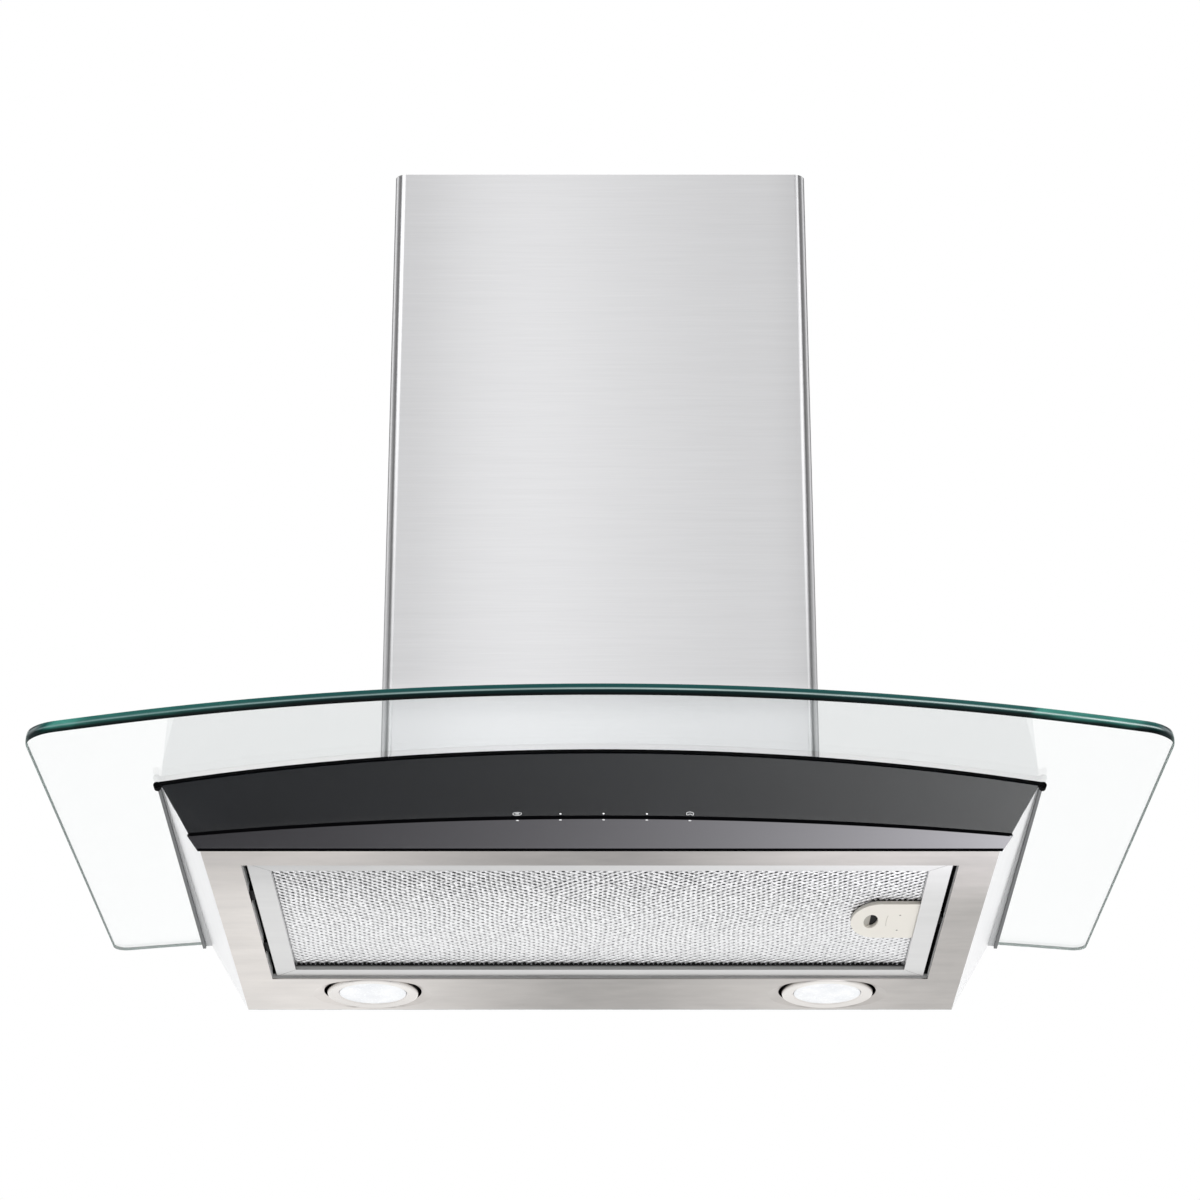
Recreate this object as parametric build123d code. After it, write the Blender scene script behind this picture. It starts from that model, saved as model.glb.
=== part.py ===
from build123d import *
import math
import os

os.makedirs("parts", exist_ok=True)

# Wall-hung range hood with an arched glass canopy.
# Frame: X to the right, Y into the wall (wall plane Y = 0, room at -Y), Z up.
# Origin: wall plane, centre line, at the height of the flat steel underside.

# ---------------------------------------------------------------- driving dimensions
GLASS_W = 762.0          # canopy width at its front corners
GLASS_W_BACK = 752.0     # canopy width at the wall
GLASS_D = 486.0          # canopy depth on the centre line
GLASS_T = 8.0            # canopy thickness
GLASS_Z = 63.5           # canopy underside on the centre line
GLASS_R = 4234.0         # arch radius of the canopy underside
GLASS_BOW = 2330.0       # bow radius of the front edge in plan
GLASS_CORNER_F = 25.0
GLASS_CORNER_B = 12.0
NOTCH_X, NOTCH_Y = 141.0, 268.0    # notch for the blower box, open to the wall

PAN_X = 270.5            # half width of the flat underside
PAN_Y = 359.5            # depth of the steel part of the underside
WALL_SLOPE = 0.5833      # side walls lean out this much per mm of height
SHEET = 1.0

FASCIA_Y = -429.5        # bottom edge of the fascia on the centre line
FASCIA_LEAN = 0.6756     # it leans back this much per mm of height
FASCIA_BOW = 1130.0      # bow radius in plan
FASCIA_T = 4.83          # thickness measured in plan (4 mm glass, leaning)
FASCIA_END = 275.0       # half width at the bottom edge
FASCIA_END_SLOPE = 0.498

CHIM_X, CHIM_Y, CHIM_TOP, CHIM_R = 156.0, 282.0, 575.0, 8.0
UP_X, UP_Y0, UP_Y1 = 153.5, 279.5, 2.5
UP_Z0, UP_Z1 = 90.0, 566.0

FILT_X = 242.0
FILT_Y0, FILT_Y1 = -329.5, -78.5
FILT_Z0, FILT_Z1 = 2.0, 11.0
RAIL = 15.2              # visible width of the filter rails
OPEN_X = 245.5
OPEN_Y0, OPEN_Y1 = -331.0, -77.0

LAMP_X, LAMP_Y = 172.5, -39.5
LAMP_R, LENS_R = 34.5, 25.3

DECK_Z = 46.0
BOX_X, BOX_Y, BOX_Z0, BOX_Z1 = 134.0, 258.0, 47.0, 330.0
FAN_Y, FAN_Z, FAN_R = -155.0, 180.0, 75.0
DUCT_Y, DUCT_R = -105.0, 75.0      # outlet collar, 150 mm duct
FLAP_Z, FLAP_X = 338.4, 4.2

LEFTC = (Align.CENTER, Align.CENTER, Align.MIN)


# ---------------------------------------------------------------- helpers
def bx(x0, x1, y0, y1, z0, z1):
    return Pos((x0 + x1) / 2, (y0 + y1) / 2, (z0 + z1) / 2) * Box(abs(x1 - x0), abs(y1 - y0), abs(z1 - z0))


def cx(x0, x1, y, z, r):
    return Pos(x0, y, z) * Rot(0, 90, 0) * Cylinder(r, x1 - x0, align=LEFTC)


def cyy(x, y0, y1, z, r):
    return Pos(x, y0, z) * Rot(-90, 0, 0) * Cylinder(r, y1 - y0, align=LEFTC)


def cz(x, y, z0, z1, r):
    return Pos(x, y, z0) * Cylinder(r, z1 - z0, align=LEFTC)


def hexz(x, y, z0, z1, af):
    return Pos(x, y, z0) * extrude(RegularPolygon(af / 2, 6, major_radius=False), z1 - z0)


def face_of(*curves):
    edges = []
    for c in curves:
        edges += list(c.edges())
    return Face(Wire(edges))


def arch(off, zlow, y0, y1, w=400.0):
    # everything below the canopy's underside moved up by off
    r = GLASS_R + off
    z0 = GLASS_Z + off
    ze = z0 - (r - math.sqrt(r * r - w * w))
    f = face_of(ThreePointArc((w, y1, ze), (0, y1, z0), (-w, y1, ze)),
                Polyline((-w, y1, ze), (-w, y1, zlow), (w, y1, zlow), (w, y1, ze)))
    return extrude(f, amount=y1 - y0, dir=(0, -1, 0))


def arch_z(x, off=0.0):
    return GLASS_Z + off - ((GLASS_R + off) - math.sqrt((GLASS_R + off) ** 2 - x * x))


def behind(off, zlow=-30.0, zhigh=110.0, back=120.0, w=330.0):
    # everything behind the fascia's outer face moved back by off in plan
    r = FASCIA_BOW - off
    y0 = FASCIA_Y + FASCIA_LEAN * zlow + off
    ye = y0 + (r - math.sqrt(r * r - w * w))
    f = face_of(ThreePointArc((w, ye, zlow), (0, y0, zlow), (-w, ye, zlow)),
                Polyline((-w, ye, zlow), (-w, back, zlow), (w, back, zlow), (w, ye, zlow)))
    n = math.sqrt(1 + FASCIA_LEAN ** 2)
    return extrude(f, amount=(zhigh - zlow) * n, dir=(0, FASCIA_LEAN / n, 1 / n))


def prism_xz(pts, y0, y1):
    p = [(x, y1, z) for x, z in pts]
    f = face_of(Polyline(*p, p[0]))
    return extrude(f, amount=y1 - y0, dir=(0, -1, 0))


def prism_xy(pts, z0, z1):
    p = [(x, y, z0) for x, y in pts]
    f = face_of(Polyline(*p, p[0]))
    return extrude(f, amount=z1 - z0, dir=(0, 0, 1))


def one(shape):
    s = shape.solids()
    return s[0] if len(s) == 1 else Compound(children=list(s))


def group(*shapes):
    out = []
    for s in shapes:
        out += list(s.solids())
    return Compound(children=out)


def put(name, shape):
    export_step(one(shape), f"parts/{name}.step")


def sheath(pts, radius, dia):
    # cable on straight runs and tangent arcs
    path = FilletPolyline(*pts, radius=radius) if len(pts) > 2 else Line(*pts)
    d = Vector(*pts[1]) - Vector(*pts[0])
    sec = Plane(origin=pts[0], z_dir=d) * Circle(dia / 2)
    return sweep(sec, path=path)


# ---------------------------------------------------------------- canopy
def glass_y_front(x):
    return -GLASS_D + GLASS_BOW - math.sqrt(GLASS_BOW ** 2 - x * x)


hw, hb = GLASS_W / 2, GLASS_W_BACK / 2
yc = glass_y_front(hw)
plan = face_of(ThreePointArc((-hw, yc, 0), (0, -GLASS_D, 0), (hw, yc, 0)),
               Polyline((hw, yc, 0), (hb, 0, 0), (-hb, 0, 0), (-hw, yc, 0)))
plan = Sketch() + plan
front_v = [v for v in plan.vertices() if v.Y < -100]
plan = fillet(front_v, GLASS_CORNER_F)
back_v = [v for v in plan.vertices() if v.Y > -0.01]
plan = fillet(back_v, GLASS_CORNER_B)
notch = Pos(0, (-NOTCH_Y + 40) / 2) * Rectangle(2 * NOTCH_X, NOTCH_Y + 40)
notch = fillet([v for v in notch.vertices() if v.Y < -100], 12)
plan = plan - notch
glass = extrude(plan, amount=120, dir=(0, 0, 1))
glass = glass & (arch(GLASS_T, -20, -520, 20) - arch(0, -30, -530, 30))
put("glass_canopy", glass)

# soft grey strips between the canopy and the side walls
band = arch(-0.1, 0, -400, 0) - arch(-1.5, -10, -410, 10)
lip = arch(-0.1, 0, -400, 0) - arch(-3.4, -10, -410, 10)
seals = []
for s in (1, -1):
    a = prism_xy([(s * 298.2, -346.5), (s * 303.2, -346.5), (s * 307.6, -1.2), (s * 298.2, -1.2)], 30, 80) & band
    b = prism_xy([(s * 301.0, -346.5), (s * 303.2, -346.5), (s * 307.6, -1.2), (s * 305.2, -1.2)], 30, 80) & lip
    seals.append(a + b)
put("side_glass_seals", group(*seals))

# ---------------------------------------------------------------- chimney
def u_profile(hx, yf, yb, r, t, ret):
    outer = Pos(0, (-yf + yb) / 2) * Rectangle(2 * hx, yf + yb)
    outer = fillet([v for v in outer.vertices() if v.Y < -100], r)
    inner = Pos(0, (-yf + t + yb + 20) / 2) * Rectangle(2 * (hx - t), yf - t + yb + 20)
    inner = fillet([v for v in inner.vertices() if v.Y < -100], r - t)
    u = outer - inner
    for s in (1, -1):
        u += Pos(s * (hx - t - ret / 2 + 0.2), yb - t / 2) * Rectangle(ret + 0.4, t)
    return u


chim = Pos(0, 0, 55) * extrude(u_profile(CHIM_X, CHIM_Y, 0.0, CHIM_R, 1.0, 13.0), CHIM_TOP - 55)
chim = chim - arch(GLASS_T + 0.4, -40, -340, 40)
for s in (1, -1):
    chim = chim - cx(min(s * 150, s * 160), max(s * 150, s * 160), -130, 81.5, 2.0)
put("chimney_lower", chim)

up = Pos(0, 0, UP_Z0) * extrude(u_profile(UP_X, UP_Y0, -UP_Y1, CHIM_R - 1.5, 0.8, 13.0), UP_Z1 - UP_Z0)
for s in (1, -1):
    for row in range(2):
        for col in range(6):
            y = -235 + col * 34
            z = 505 + row * 16
            up = up - bx(s * 150, s * 156, y - 11, y + 11, z - 2, z + 2)
    up = up - cyy(s * 146, -10, 0, 551, 1.75)
put("chimney_upper", up)

br = bx(-152, 152, -4.8, -3.3, 540, 562) + bx(-138, 138, -16, -3.3, 560.5, 562)
for s in (1, -1):
    br = br - cyy(s * 60, -12, 0, 550, 3.25) - cyy(s * 146, -10, 0, 551, 1.75)
put("upper_bracket", br)
put("upper_bracket_screws", group(*[cyy(s * 146, -8.0, -2.5, 551, 1.75) + cyy(s * 146, -7.2, -4.8, 551, 3.3) for s in (1, -1)]))

# angle brackets that hold the lower cover to the blower box
hb_parts, m4_screws = [], []
for s in (1, -1):
    def xb(a, b):
        return (min(s * a, s * b), max(s * a, s * b))
    b = bx(*xb(134, 135.5), -145, -115, 75, 98) + bx(*xb(134, 155), -145, -115, 75, 76.5) + bx(*xb(153.5, 155), -145, -115, 75, 87)
    b = b - cx(*xb(150, 160), -130, 81.5, 2.0) - cx(*xb(130, 140), -130, 90, 2.0)
    hb_parts.append(b)
    m4_screws.append(cx(*xb(151, 156.2), -130, 81.5, 2.0) + cx(*xb(156.0, 157.8), -130, 81.5, 3.6))
    m4_screws.append(cx(*xb(130.5, 135.7), -130, 90, 2.0) + cx(*xb(135.5, 137.5), -130, 90, 3.6))
put("chimney_hold_brackets", group(*hb_parts))

# ---------------------------------------------------------------- steel body
def outer_x(z):
    return PAN_X + WALL_SLOPE * z


slab = arch(-1.6, -5, -460, 10)
side = []
for s in (1, -1):
    w = prism_xz([(s * PAN_X, 0), (s * outer_x(70), 70), (s * (outer_x(70) - 1.2), 70), (s * (PAN_X - 1.2), 0)], -445, -1.2)
    w = w & slab
    w = w & behind(FASCIA_T + 0.35)
    w = w - bx(-330, 330, -460, -PAN_Y - 0.2, -5, 4.2)
    side.append(w)
pan = bx(-PAN_X, PAN_X, -PAN_Y, -1.2, 0, SHEET) + side[0] + side[1]
pan = pan + bx(-(PAN_X - 0.5), PAN_X - 0.5, -PAN_Y, -PAN_Y + 1.0, 0, 5.2)
shelf = bx(-271.6, 271.6, -445, -PAN_Y + 1.0, 4.2, 5.2) & behind(FASCIA_T + 0.35)
pan = pan + shelf
pan = pan - bx(-OPEN_X, OPEN_X, OPEN_Y0, OPEN_Y1, -2, 3)
LED_X = [-54.6, -26.1, 2.4, 30.9, 59.4]


def led_y(x):
    return FASCIA_Y + 8.4 + x * x / (2 * FASCIA_BOW)


for x in LED_X:
    pan = pan - cz(x, led_y(x), 3.0, 6.0, 1.3)
for s in (1, -1):
    p0 = Pos(s * LAMP_X, LAMP_Y, 0)
    big, small = Ellipse(45.0, 35.9), Ellipse(37.0, 35.1)
    cut = loft([p0 * big, p0 * Pos(0, 0, 2.4) * small], ruled=True) + p0 * Pos(0, 0, 2.4) * extrude(small, 3)
    add = loft([p0 * Pos(0, 0, 1.0) * big, p0 * Pos(0, 0, 3.4) * small], ruled=True) + p0 * extrude(big, 1.0)
    pan = (pan + add) - cut
put("underside_pan", pan)

back = prism_xz([(-PAN_X, 0), (PAN_X, 0), (outer_x(75), 75), (-outer_x(75), 75)], -1.2, 0) & slab
back = back - bx(-153, 153, -5, 5, DECK_Z, 90)
for s in (1, -1):
    back = back - cyy(s * 230, -5, 5, 30, 4.0)
put("back_plate", back)

deck = bx(-295.6, 295.6, -440, -1.3, DECK_Z, DECK_Z + 1.0) & behind(FASCIA_T + 3.1)
deck = deck - bx(-128, 128, -250, -10, 40, 55)
DECK_SCREWS = [(x, y) for x in (-143, 143) for y in (-250, -165, -80, -20)] + [(-70, -265), (70, -265)]
for x, y in DECK_SCREWS:
    deck = deck - cz(x, y, 40, 50, 2.0)
put("top_deck", deck)

inner_x = prism_xz([(-(PAN_X - 1.5), 0), (PAN_X - 1.5, 0), (outer_x(70) - 1.5, 70), (-(outer_x(70) - 1.5), 70)], -460, 0)
fw = (behind(6.1) - behind(7.1, zlow=-35, zhigh=115, back=130, w=335)) & slab & inner_x
fw = fw & bx(-330, 330, -460, -200, 5.4, 80)
fw = fw - bx(-80, 80, -460, -380, 9, 33)
put("front_wall", fw)

# ---------------------------------------------------------------- fascia
ends = prism_xz([(-FASCIA_END, 0), (FASCIA_END, 0), (FASCIA_END + FASCIA_END_SLOPE * 80, 80), (-(FASCIA_END + FASCIA_END_SLOPE * 80), 80)], -470, 0)
fascia = (behind(0) - behind(FASCIA_T, zlow=-35, zhigh=115, back=130, w=335)) & ends & arch(-3.3, -5, -470, 10)
put("fascia_glass", fascia)

trim = (behind(-0.7) - behind(5.0, zlow=-35, zhigh=115, back=130, w=335)) & (arch(-0.2, 0, -470, 10) - arch(-3.2, -10, -480, 20))
trim = trim & bx(-303.3, 303.3, -470, 0, 20, 80)
zt = arch_z(303.8)
yt = FASCIA_Y + FASCIA_LEAN * zt + 303.8 ** 2 / (2 * FASCIA_BOW)
for s in (1, -1):
    trim = trim + cyy(s * 303.1, yt - 1.5, yt + 4.3, zt - 2.7, 2.35)
put("fascia_top_trim", trim)

tapes = []
gap = behind(FASCIA_T + 0.05) - behind(6.05, zlow=-35, zhigh=115, back=130, w=335)
for z0, z1 in ((6.5, 8.6), (40, 46)):
    tapes.append(gap & bx(-250, 250, -460, -200, z0, z1))
put("fascia_tapes", group(*tapes))

strip = bx(-300, 300, -445, -PAN_Y - 0.5, 0, 4.0) & behind(FASCIA_T + 0.35)
strip = strip & prism_xy([(-272.3, -350), (272.3, -350), (272.3, -360), (284.0, -450), (-284.0, -450), (-272.3, -360)], -1, 6)
for x in LED_X:
    strip = strip - cz(x, led_y(x), -1, 6, 1.0)
put("underside_strip", strip)
put("indicator_lenses", group(*[cz(x, led_y(x), 0.0, 3.3, 1.0) for x in LED_X]))


def leaning_plate(x0, x1, z0, z1, off, t):
    y0 = FASCIA_Y + FASCIA_LEAN * z0 + off
    f = face_of(Polyline((x0, y0, z0), (x1, y0, z0), (x1, y0 + t, z0), (x0, y0 + t, z0), (x0, y0, z0)))
    n = math.sqrt(1 + FASCIA_LEAN ** 2)
    return extrude(f, amount=(z1 - z0) * n, dir=(0, FASCIA_LEAN / n, 1 / n))


put("touch_board", leaning_plate(-76, 76, 8, 34, 10.6, 1.9))
put("control_box", bx(90, 230, -370, -335.5, 5.2, 32))

# ---------------------------------------------------------------- grease filter and its seat
seat = bx(-OPEN_X - 1, OPEN_X + 1, OPEN_Y0 - 1, OPEN_Y1 + 1, SHEET, 13.5)
seat = seat - bx(-OPEN_X, OPEN_X, OPEN_Y0, OPEN_Y1, 0, 12.5) - bx(-234, 234, -319, -89, 10, 16)
TABS = (-260.0, -145.0)
for y in TABS:
    seat = seat - bx(-248, -244, y - 12, y + 12, SHEET, 9)
put("filter_seat", seat)

ring = bx(-FILT_X, FILT_X, FILT_Y0, FILT_Y1, FILT_Z0, FILT_Z1)
ring = ring - bx(-FILT_X + 1, FILT_X - 1, FILT_Y0 + 1, FILT_Y1 - 1, FILT_Z0 + 0.9, FILT_Z1 - 0.9)
ring = ring - bx(-FILT_X + RAIL, FILT_X - RAIL, FILT_Y0 + RAIL, FILT_Y1 - RAIL, 0, 5)
ring = ring - bx(-FILT_X + 12, FILT_X - 12, FILT_Y0 + 12, FILT_Y1 - 12, 5, 15)
LATCH_Y = -203.0
# upright inner wall of the rails, cut away where the latch plate passes
iw = bx(-FILT_X + RAIL - 0.7, FILT_X - RAIL + 0.7, FILT_Y0 + RAIL - 0.7, FILT_Y1 - RAIL + 0.7, 2.5, 5.9)
iw = iw - bx(-FILT_X + RAIL, FILT_X - RAIL, FILT_Y0 + RAIL, FILT_Y1 - RAIL, 0, 7)
iw = iw - bx(220, 240, LATCH_Y - 38.0, LATCH_Y + 38.0, 2.95, 7)
ring = ring + iw
ring = ring - bx(240, 243, LATCH_Y - 11.6, LATCH_Y + 11.6, 4.9, 7.9)
k = 16.0
a, b0, b1 = FILT_X, FILT_Y0, FILT_Y1
quads = [
    [(-a, b0), (-a, b1), (-a + k, b1 - k), (-a + k, b0 + k)],
    [(a, b1), (a, b0), (a - k, b0 + k), (a - k, b1 - k)],
    [(-a, b0), (-a + k, b0 + k), (a - k, b0 + k), (a, b0)],
    [(-a, b1), (a, b1), (a - k, b1 - k), (-a + k, b1 - k)],
]
put("filter_frame", group(*[ring & prism_xy(q, 0, 15) for q in quads]))

latch_room = bx(226.6, 242, LATCH_Y - 15, LATCH_Y + 15, 5, 12)


def mesh_layer(z0, z1):
    return bx(-240.9, 240.9, FILT_Y0 + 1.1, FILT_Y1 - 1.1, z0, z1) - latch_room


put("filter_mesh_outer", mesh_layer(6.0, 6.8))
put("filter_mesh_core", mesh_layer(6.8, 9.3))
put("filter_mesh_inner", mesh_layer(9.3, 10.1))

tabs = [bx(-242.6, -242.0, y - 10, y + 10, 3.0, 9.5) + bx(-247.3, -242.0, y - 10, y + 10, 3.0, 4.2) for y in TABS]
put("filter_hinge_tabs", group(*tabs))

# latch plate: D shape with a scooped finger hole, and a tongue at the frame's outer edge
HX0, HW, HA = 180.0, 37.25, 20.0
latch = Pos(HX0 + HA, LATCH_Y, 3.1) * extrude(Ellipse(HA, HW), 2.6)
latch = latch + bx(HX0 + HA, 240.5, LATCH_Y - HW, LATCH_Y + HW, 3.1, 5.7)
hole_c = Pos(194.3, LATCH_Y + 0.6, 0)
oval = extrude(Ellipse(5.1, 14.7), 12)
latch = latch - hole_c * oval
wedge = prism_xz([(188.2, 3.4), (193.9, 5.2), (193.9, 5.7), (188.2, 5.7)], LATCH_Y - 20, LATCH_Y + 20) & (hole_c * oval)
latch = latch + wedge
latch = latch + bx(237, 244.7, LATCH_Y - 11, LATCH_Y + 11, 5.2, 7.6)
latch = latch + bx(237, 239.5, LATCH_Y - 5, LATCH_Y + 5, 5.2, 9.7)
put("filter_latch", latch)
put("latch_stop", bx(226.9, 228.9, LATCH_Y - 8, LATCH_Y + 8, 6.0, 10.1))
hel = Helix(pitch=1.6, height=7.6, radius=1.5)
sp = sweep(Plane(origin=hel @ 0, z_dir=hel % 0) * Circle(0.25), path=hel, is_frenet=True)
put("latch_spring", Pos(229.2, LATCH_Y, 8.1) * Rot(0, 90, 0) * sp)
catch = bx(244.9, 245.5, LATCH_Y - 8, LATCH_Y + 8, 3.7, 12.4) + bx(243.9, 245.2, LATCH_Y - 8, LATCH_Y + 8, 3.7, 4.9)
put("filter_catch", catch)

# ---------------------------------------------------------------- lamps
bez, lens, hous, leds, clips = [], [], [], [], []
for s in (1, -1):
    p = Pos(s * LAMP_X, LAMP_Y, 0)
    prof = face_of(Polyline((LENS_R + 0.3, 0, 2.2), (LENS_R + 0.3, 0, 0.9), (LENS_R + 1.2, 0, 0.0), (LAMP_R - 1.6, 0, -0.5),
                            (LAMP_R - 0.3, 0, 0.0), (LAMP_R, 0, 0.9), (LAMP_R, 0, 2.2), (LENS_R + 0.3, 0, 2.2)))
    bez.append(p * revolve(prof, axis=Axis.Z))
    lens.append(p * (cz(0, 0, 0.7, 2.2, LENS_R)))
    h = cz(0, 0, 2.2, 26, 27.5) - cz(0, 0, 2.0, 24, 26.0)
    h = h + (cz(0, 0, 2.2, 3.4, 31.5) - cz(0, 0, 2.0, 4, 26.0))
    h = h - cz(0, 0, 22, 28, 3.0)
    hous.append(p * h)
    led = cz(0, 0, 16, 17.6, 22)
    for i in range(6):
        an = math.radians(60 * i)
        led = led + bx(12 * math.cos(an) - 1.5, 12 * math.cos(an) + 1.5, 12 * math.sin(an) - 1.5, 12 * math.sin(an) + 1.5, 15.2, 16.5)
    leds.append(p * (led + cz(0, 0, 17.6, 24.0, 25.9)))
    for q in (45, 225):
        clips.append(p * Rot(0, 0, q) * (bx(27.6, 28.4, -5, 5, 5, 22) + bx(27.6, 36, -5, 5, 4.4, 5.2)))
put("lamp_bezels", group(*bez))
put("lamp_lenses", group(*lens))
put("lamp_housings", group(*hous))
put("led_modules", group(*leds))
put("lamp_spring_clips", group(*clips))
put("led_driver", bx(248.5, 268.4, -210, -110, 1.0, 31))

# ---------------------------------------------------------------- blower box
box = bx(-BOX_X, BOX_X, -BOX_Y, 0, BOX_Z0, BOX_Z1) + bx(-152, 152, -272, 0, BOX_Z0, BOX_Z0 + 1)
box = box - bx(-BOX_X + 1, BOX_X - 1, -BOX_Y + 1, -1, BOX_Z0 - 5, BOX_Z1 - 1)
box = box - cz(0, DUCT_Y, 320, 340, 73.0) - cz(108, -220, 320, 340, 8.0)
for s in (1, -1):
    box = box - cyy(s * 100, -5, 5, 300, 4.0)
    for y in (-40, -220):
        box = box - cx(min(s * 130, s * 140), max(s * 130, s * 140), y, 88, 2.0)
    box = box - cx(min(s * 130, s * 140), max(s * 130, s * 140), -130, 90, 2.0)
for x, y in DECK_SCREWS:
    box = box - cz(x, y, 40, 55, 2.0)
put("blower_box", box)
m4_screws += [cz(x, y, 43.0, 48.2, 2.0) + cz(x, y, 48.0, 50.0, 3.6) for x, y in DECK_SCREWS]

clamps, pads = [], []
for s in (1, -1):
    def xb(a, b):
        return (min(s * a, s * b), max(s * a, s * b))
    for y in (-40, -220):
        c = bx(*xb(134, 135.5), y - 11, y + 11, 73, 96) + bx(*xb(134, 150), y - 11, y + 11, 73, 74.5)
        clamps.append(c - cx(*xb(130, 140), y, 88, 2.0))
        pads.append(bx(*xb(142.5, 150), y - 11, y + 11, 60, 73.0) - arch(GLASS_T + 0.05, -40, -340, 40))
        m4_screws.append(cx(*xb(130.5, 135.7), y, 88, 2.0) + cx(*xb(135.5, 137.5), y, 88, 3.6))
put("glass_clamps", group(*clamps))
put("glass_clamp_pads", group(*pads))
put("m4_screws", group(*m4_screws))

# ---------------------------------------------------------------- fan scroll, two halves split on the centre plane
def scroll_outline(g, top, tongue):
    o = (0.0, FAN_Y, FAN_Z)

    def P(u, v):
        return (0.0, FAN_Y + u, FAN_Z + v)
    r1, r2, r3 = 84 + g, 93 + g, 102 + g
    m = math.sqrt(0.5)
    a1 = ThreePointArc(P(-4, -2 + r1), P(-4 - r1 * m, -2 + r1 * m), P(-4 - r1, -2))
    a2 = ThreePointArc(P(5 - r2, -2), P(5 - r2 * m, -2 - r2 * m), P(5, -2 - r2))
    a3 = ThreePointArc(P(5, 7 - r3), P(5 + r3 * m, 7 - r3 * m), P(5 + r3, 7))
    tail = Polyline(P(5 + r3, 7), P(5 + r3, top), P(tongue[0], top), P(*tongue), P(-4, -2 + r1))
    return face_of(a1, a2, a3, tail)


top_v = BOX_Z1 - 1 - FAN_Z
outer_f = scroll_outline(2.5, top_v, (3.5, 93.5))
inner_f = scroll_outline(0.0, top_v + 5, (6.0, 92.0))
so = Pos(-56, 0, 0) * extrude(outer_f, amount=112, dir=(1, 0, 0))
si = Pos(-53.5, 0, 0) * extrude(inner_f, amount=107, dir=(1, 0, 0))
scroll = so - si
for s in (1, -1):
    x0, x1 = (56, 60) if s > 0 else (-60, -56)
    scroll = scroll + cx(x0, x1, FAN_Y, FAN_Z, 67)
    x0, x1 = (50, 62) if s > 0 else (-62, -50)
    scroll = scroll - cx(x0, x1, FAN_Y, FAN_Z, 64)
MOT_SCREW = [(76 * math.cos(math.radians(t)), 76 * math.sin(math.radians(t))) for t in (150, 270, 30)]
for u, v in MOT_SCREW:
    scroll = scroll - cx(-60, -50, FAN_Y + u, FAN_Z + v, 2.0)
SCROLL_SCREW = [(cu + (r + 7.2) * math.cos(math.radians(t)), cv + (r + 7.2) * math.sin(math.radians(t)))
                for cu, cv, r, t in ((5, -2, 93, 212), (5, -2, 93, 252), (5, 7, 102, 315), (-4, -2, 84, 148))]
for u, v in SCROLL_SCREW:
    lug = cx(-9, 9, FAN_Y + u, FAN_Z + v, 5.5) - (Pos(-80, 0, 0) * extrude(inner_f, amount=160, dir=(1, 0, 0)))
    scroll = scroll + lug
for u, v in SCROLL_SCREW:
    scroll = scroll - cx(-20, 20, FAN_Y + u, FAN_Z + v, 2.0)
put("scroll_left", scroll & bx(-80, 0, -400, 50, 0, 400))
put("scroll_right", scroll & bx(0, 80, -400, 50, 0, 400))
fan_screws = [cx(-10.5, 10.5, FAN_Y + u, FAN_Z + v, 2.0) + cx(9.0, 11.5, FAN_Y + u, FAN_Z + v, 3.6) for u, v in SCROLL_SCREW]

# impeller: two inlets, forward-curved blades on a centre disc
imp = cx(-1, 1, FAN_Y, FAN_Z, FAN_R - 0.5) + cx(-12, 12, FAN_Y, FAN_Z, 14)
for x0 in (-50.0, 47.5):
    imp = imp + (cx(x0, x0 + 2.5, FAN_Y, FAN_Z, FAN_R) - cx(x0 - 1, x0 + 4, FAN_Y, FAN_Z, 61.5))
hoop = cx(-49.9, 49.9, FAN_Y, FAN_Z, FAN_R) - cx(-52, 52, FAN_Y, FAN_Z, 61.8)
blades = []
for i in range(32):
    blade = Rot(i * 360 / 32, 0, 0) * Pos(0, 68.4, 0) * Rot(32, 0, 0) * Box(99.8, 19, 1.1)
    blades.append(blade)
bl = Pos(0, FAN_Y, FAN_Z) * (Part() + blades)
imp = imp + (bl & hoop)
imp = imp - cx(-60, 60, FAN_Y, FAN_Z, 4.0)
put("impeller", imp)
put("motor_shaft", cx(-118, 20, FAN_Y, FAN_Z, 4.0))
put("impeller_nut", (Pos(12.0, FAN_Y, FAN_Z) * Rot(0, 90, 0) * extrude(RegularPolygon(6.5, 6, major_radius=False), 6.0)) - cx(10, 22, FAN_Y, FAN_Z, 4.0))

mot = cx(-128, -76, FAN_Y, FAN_Z, 42) + cx(-76, -70, FAN_Y, FAN_Z, 13)
mot = mot - cx(-122, -60, FAN_Y, FAN_Z, 4.05)
mot = mot - (cx(-112, -104, FAN_Y, FAN_Z, 45) - cx(-112, -104, FAN_Y, FAN_Z, 39.5))
put("motor_body", mot)
brk = cx(-96, -90, FAN_Y, FAN_Z, 46)
bush = []
for t, (u, v) in zip((150, 270, 30), MOT_SCREW):
    arm = Pos(0, FAN_Y, FAN_Z) * Rot(t, 0, 0) * (bx(-96, -93, 42, 81, -7, 7) + bx(-96, -62, 71, 81, -6, 6))
    brk = brk + arm
brk = brk - cx(-100, -80, FAN_Y, FAN_Z, 42)
for u, v in MOT_SCREW:
    y, z = FAN_Y + u, FAN_Z + v
    brk = brk - cx(-100, -50, y, z, 2.0)
    bush.append(cx(-62, -56, y, z, 5.0) - cx(-64, -50, y, z, 2.0))
    fan_screws.append(cx(-97.5, -52.5, y, z, 2.0) + cx(-98.5, -96, y, z, 3.6))
put("motor_bracket", brk)
put("motor_bushes", group(*bush))
put("fan_screws", group(*fan_screws))
CAP_X, CAP_Y, CAP_Z = -108.0, -240.9, 150.0
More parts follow.
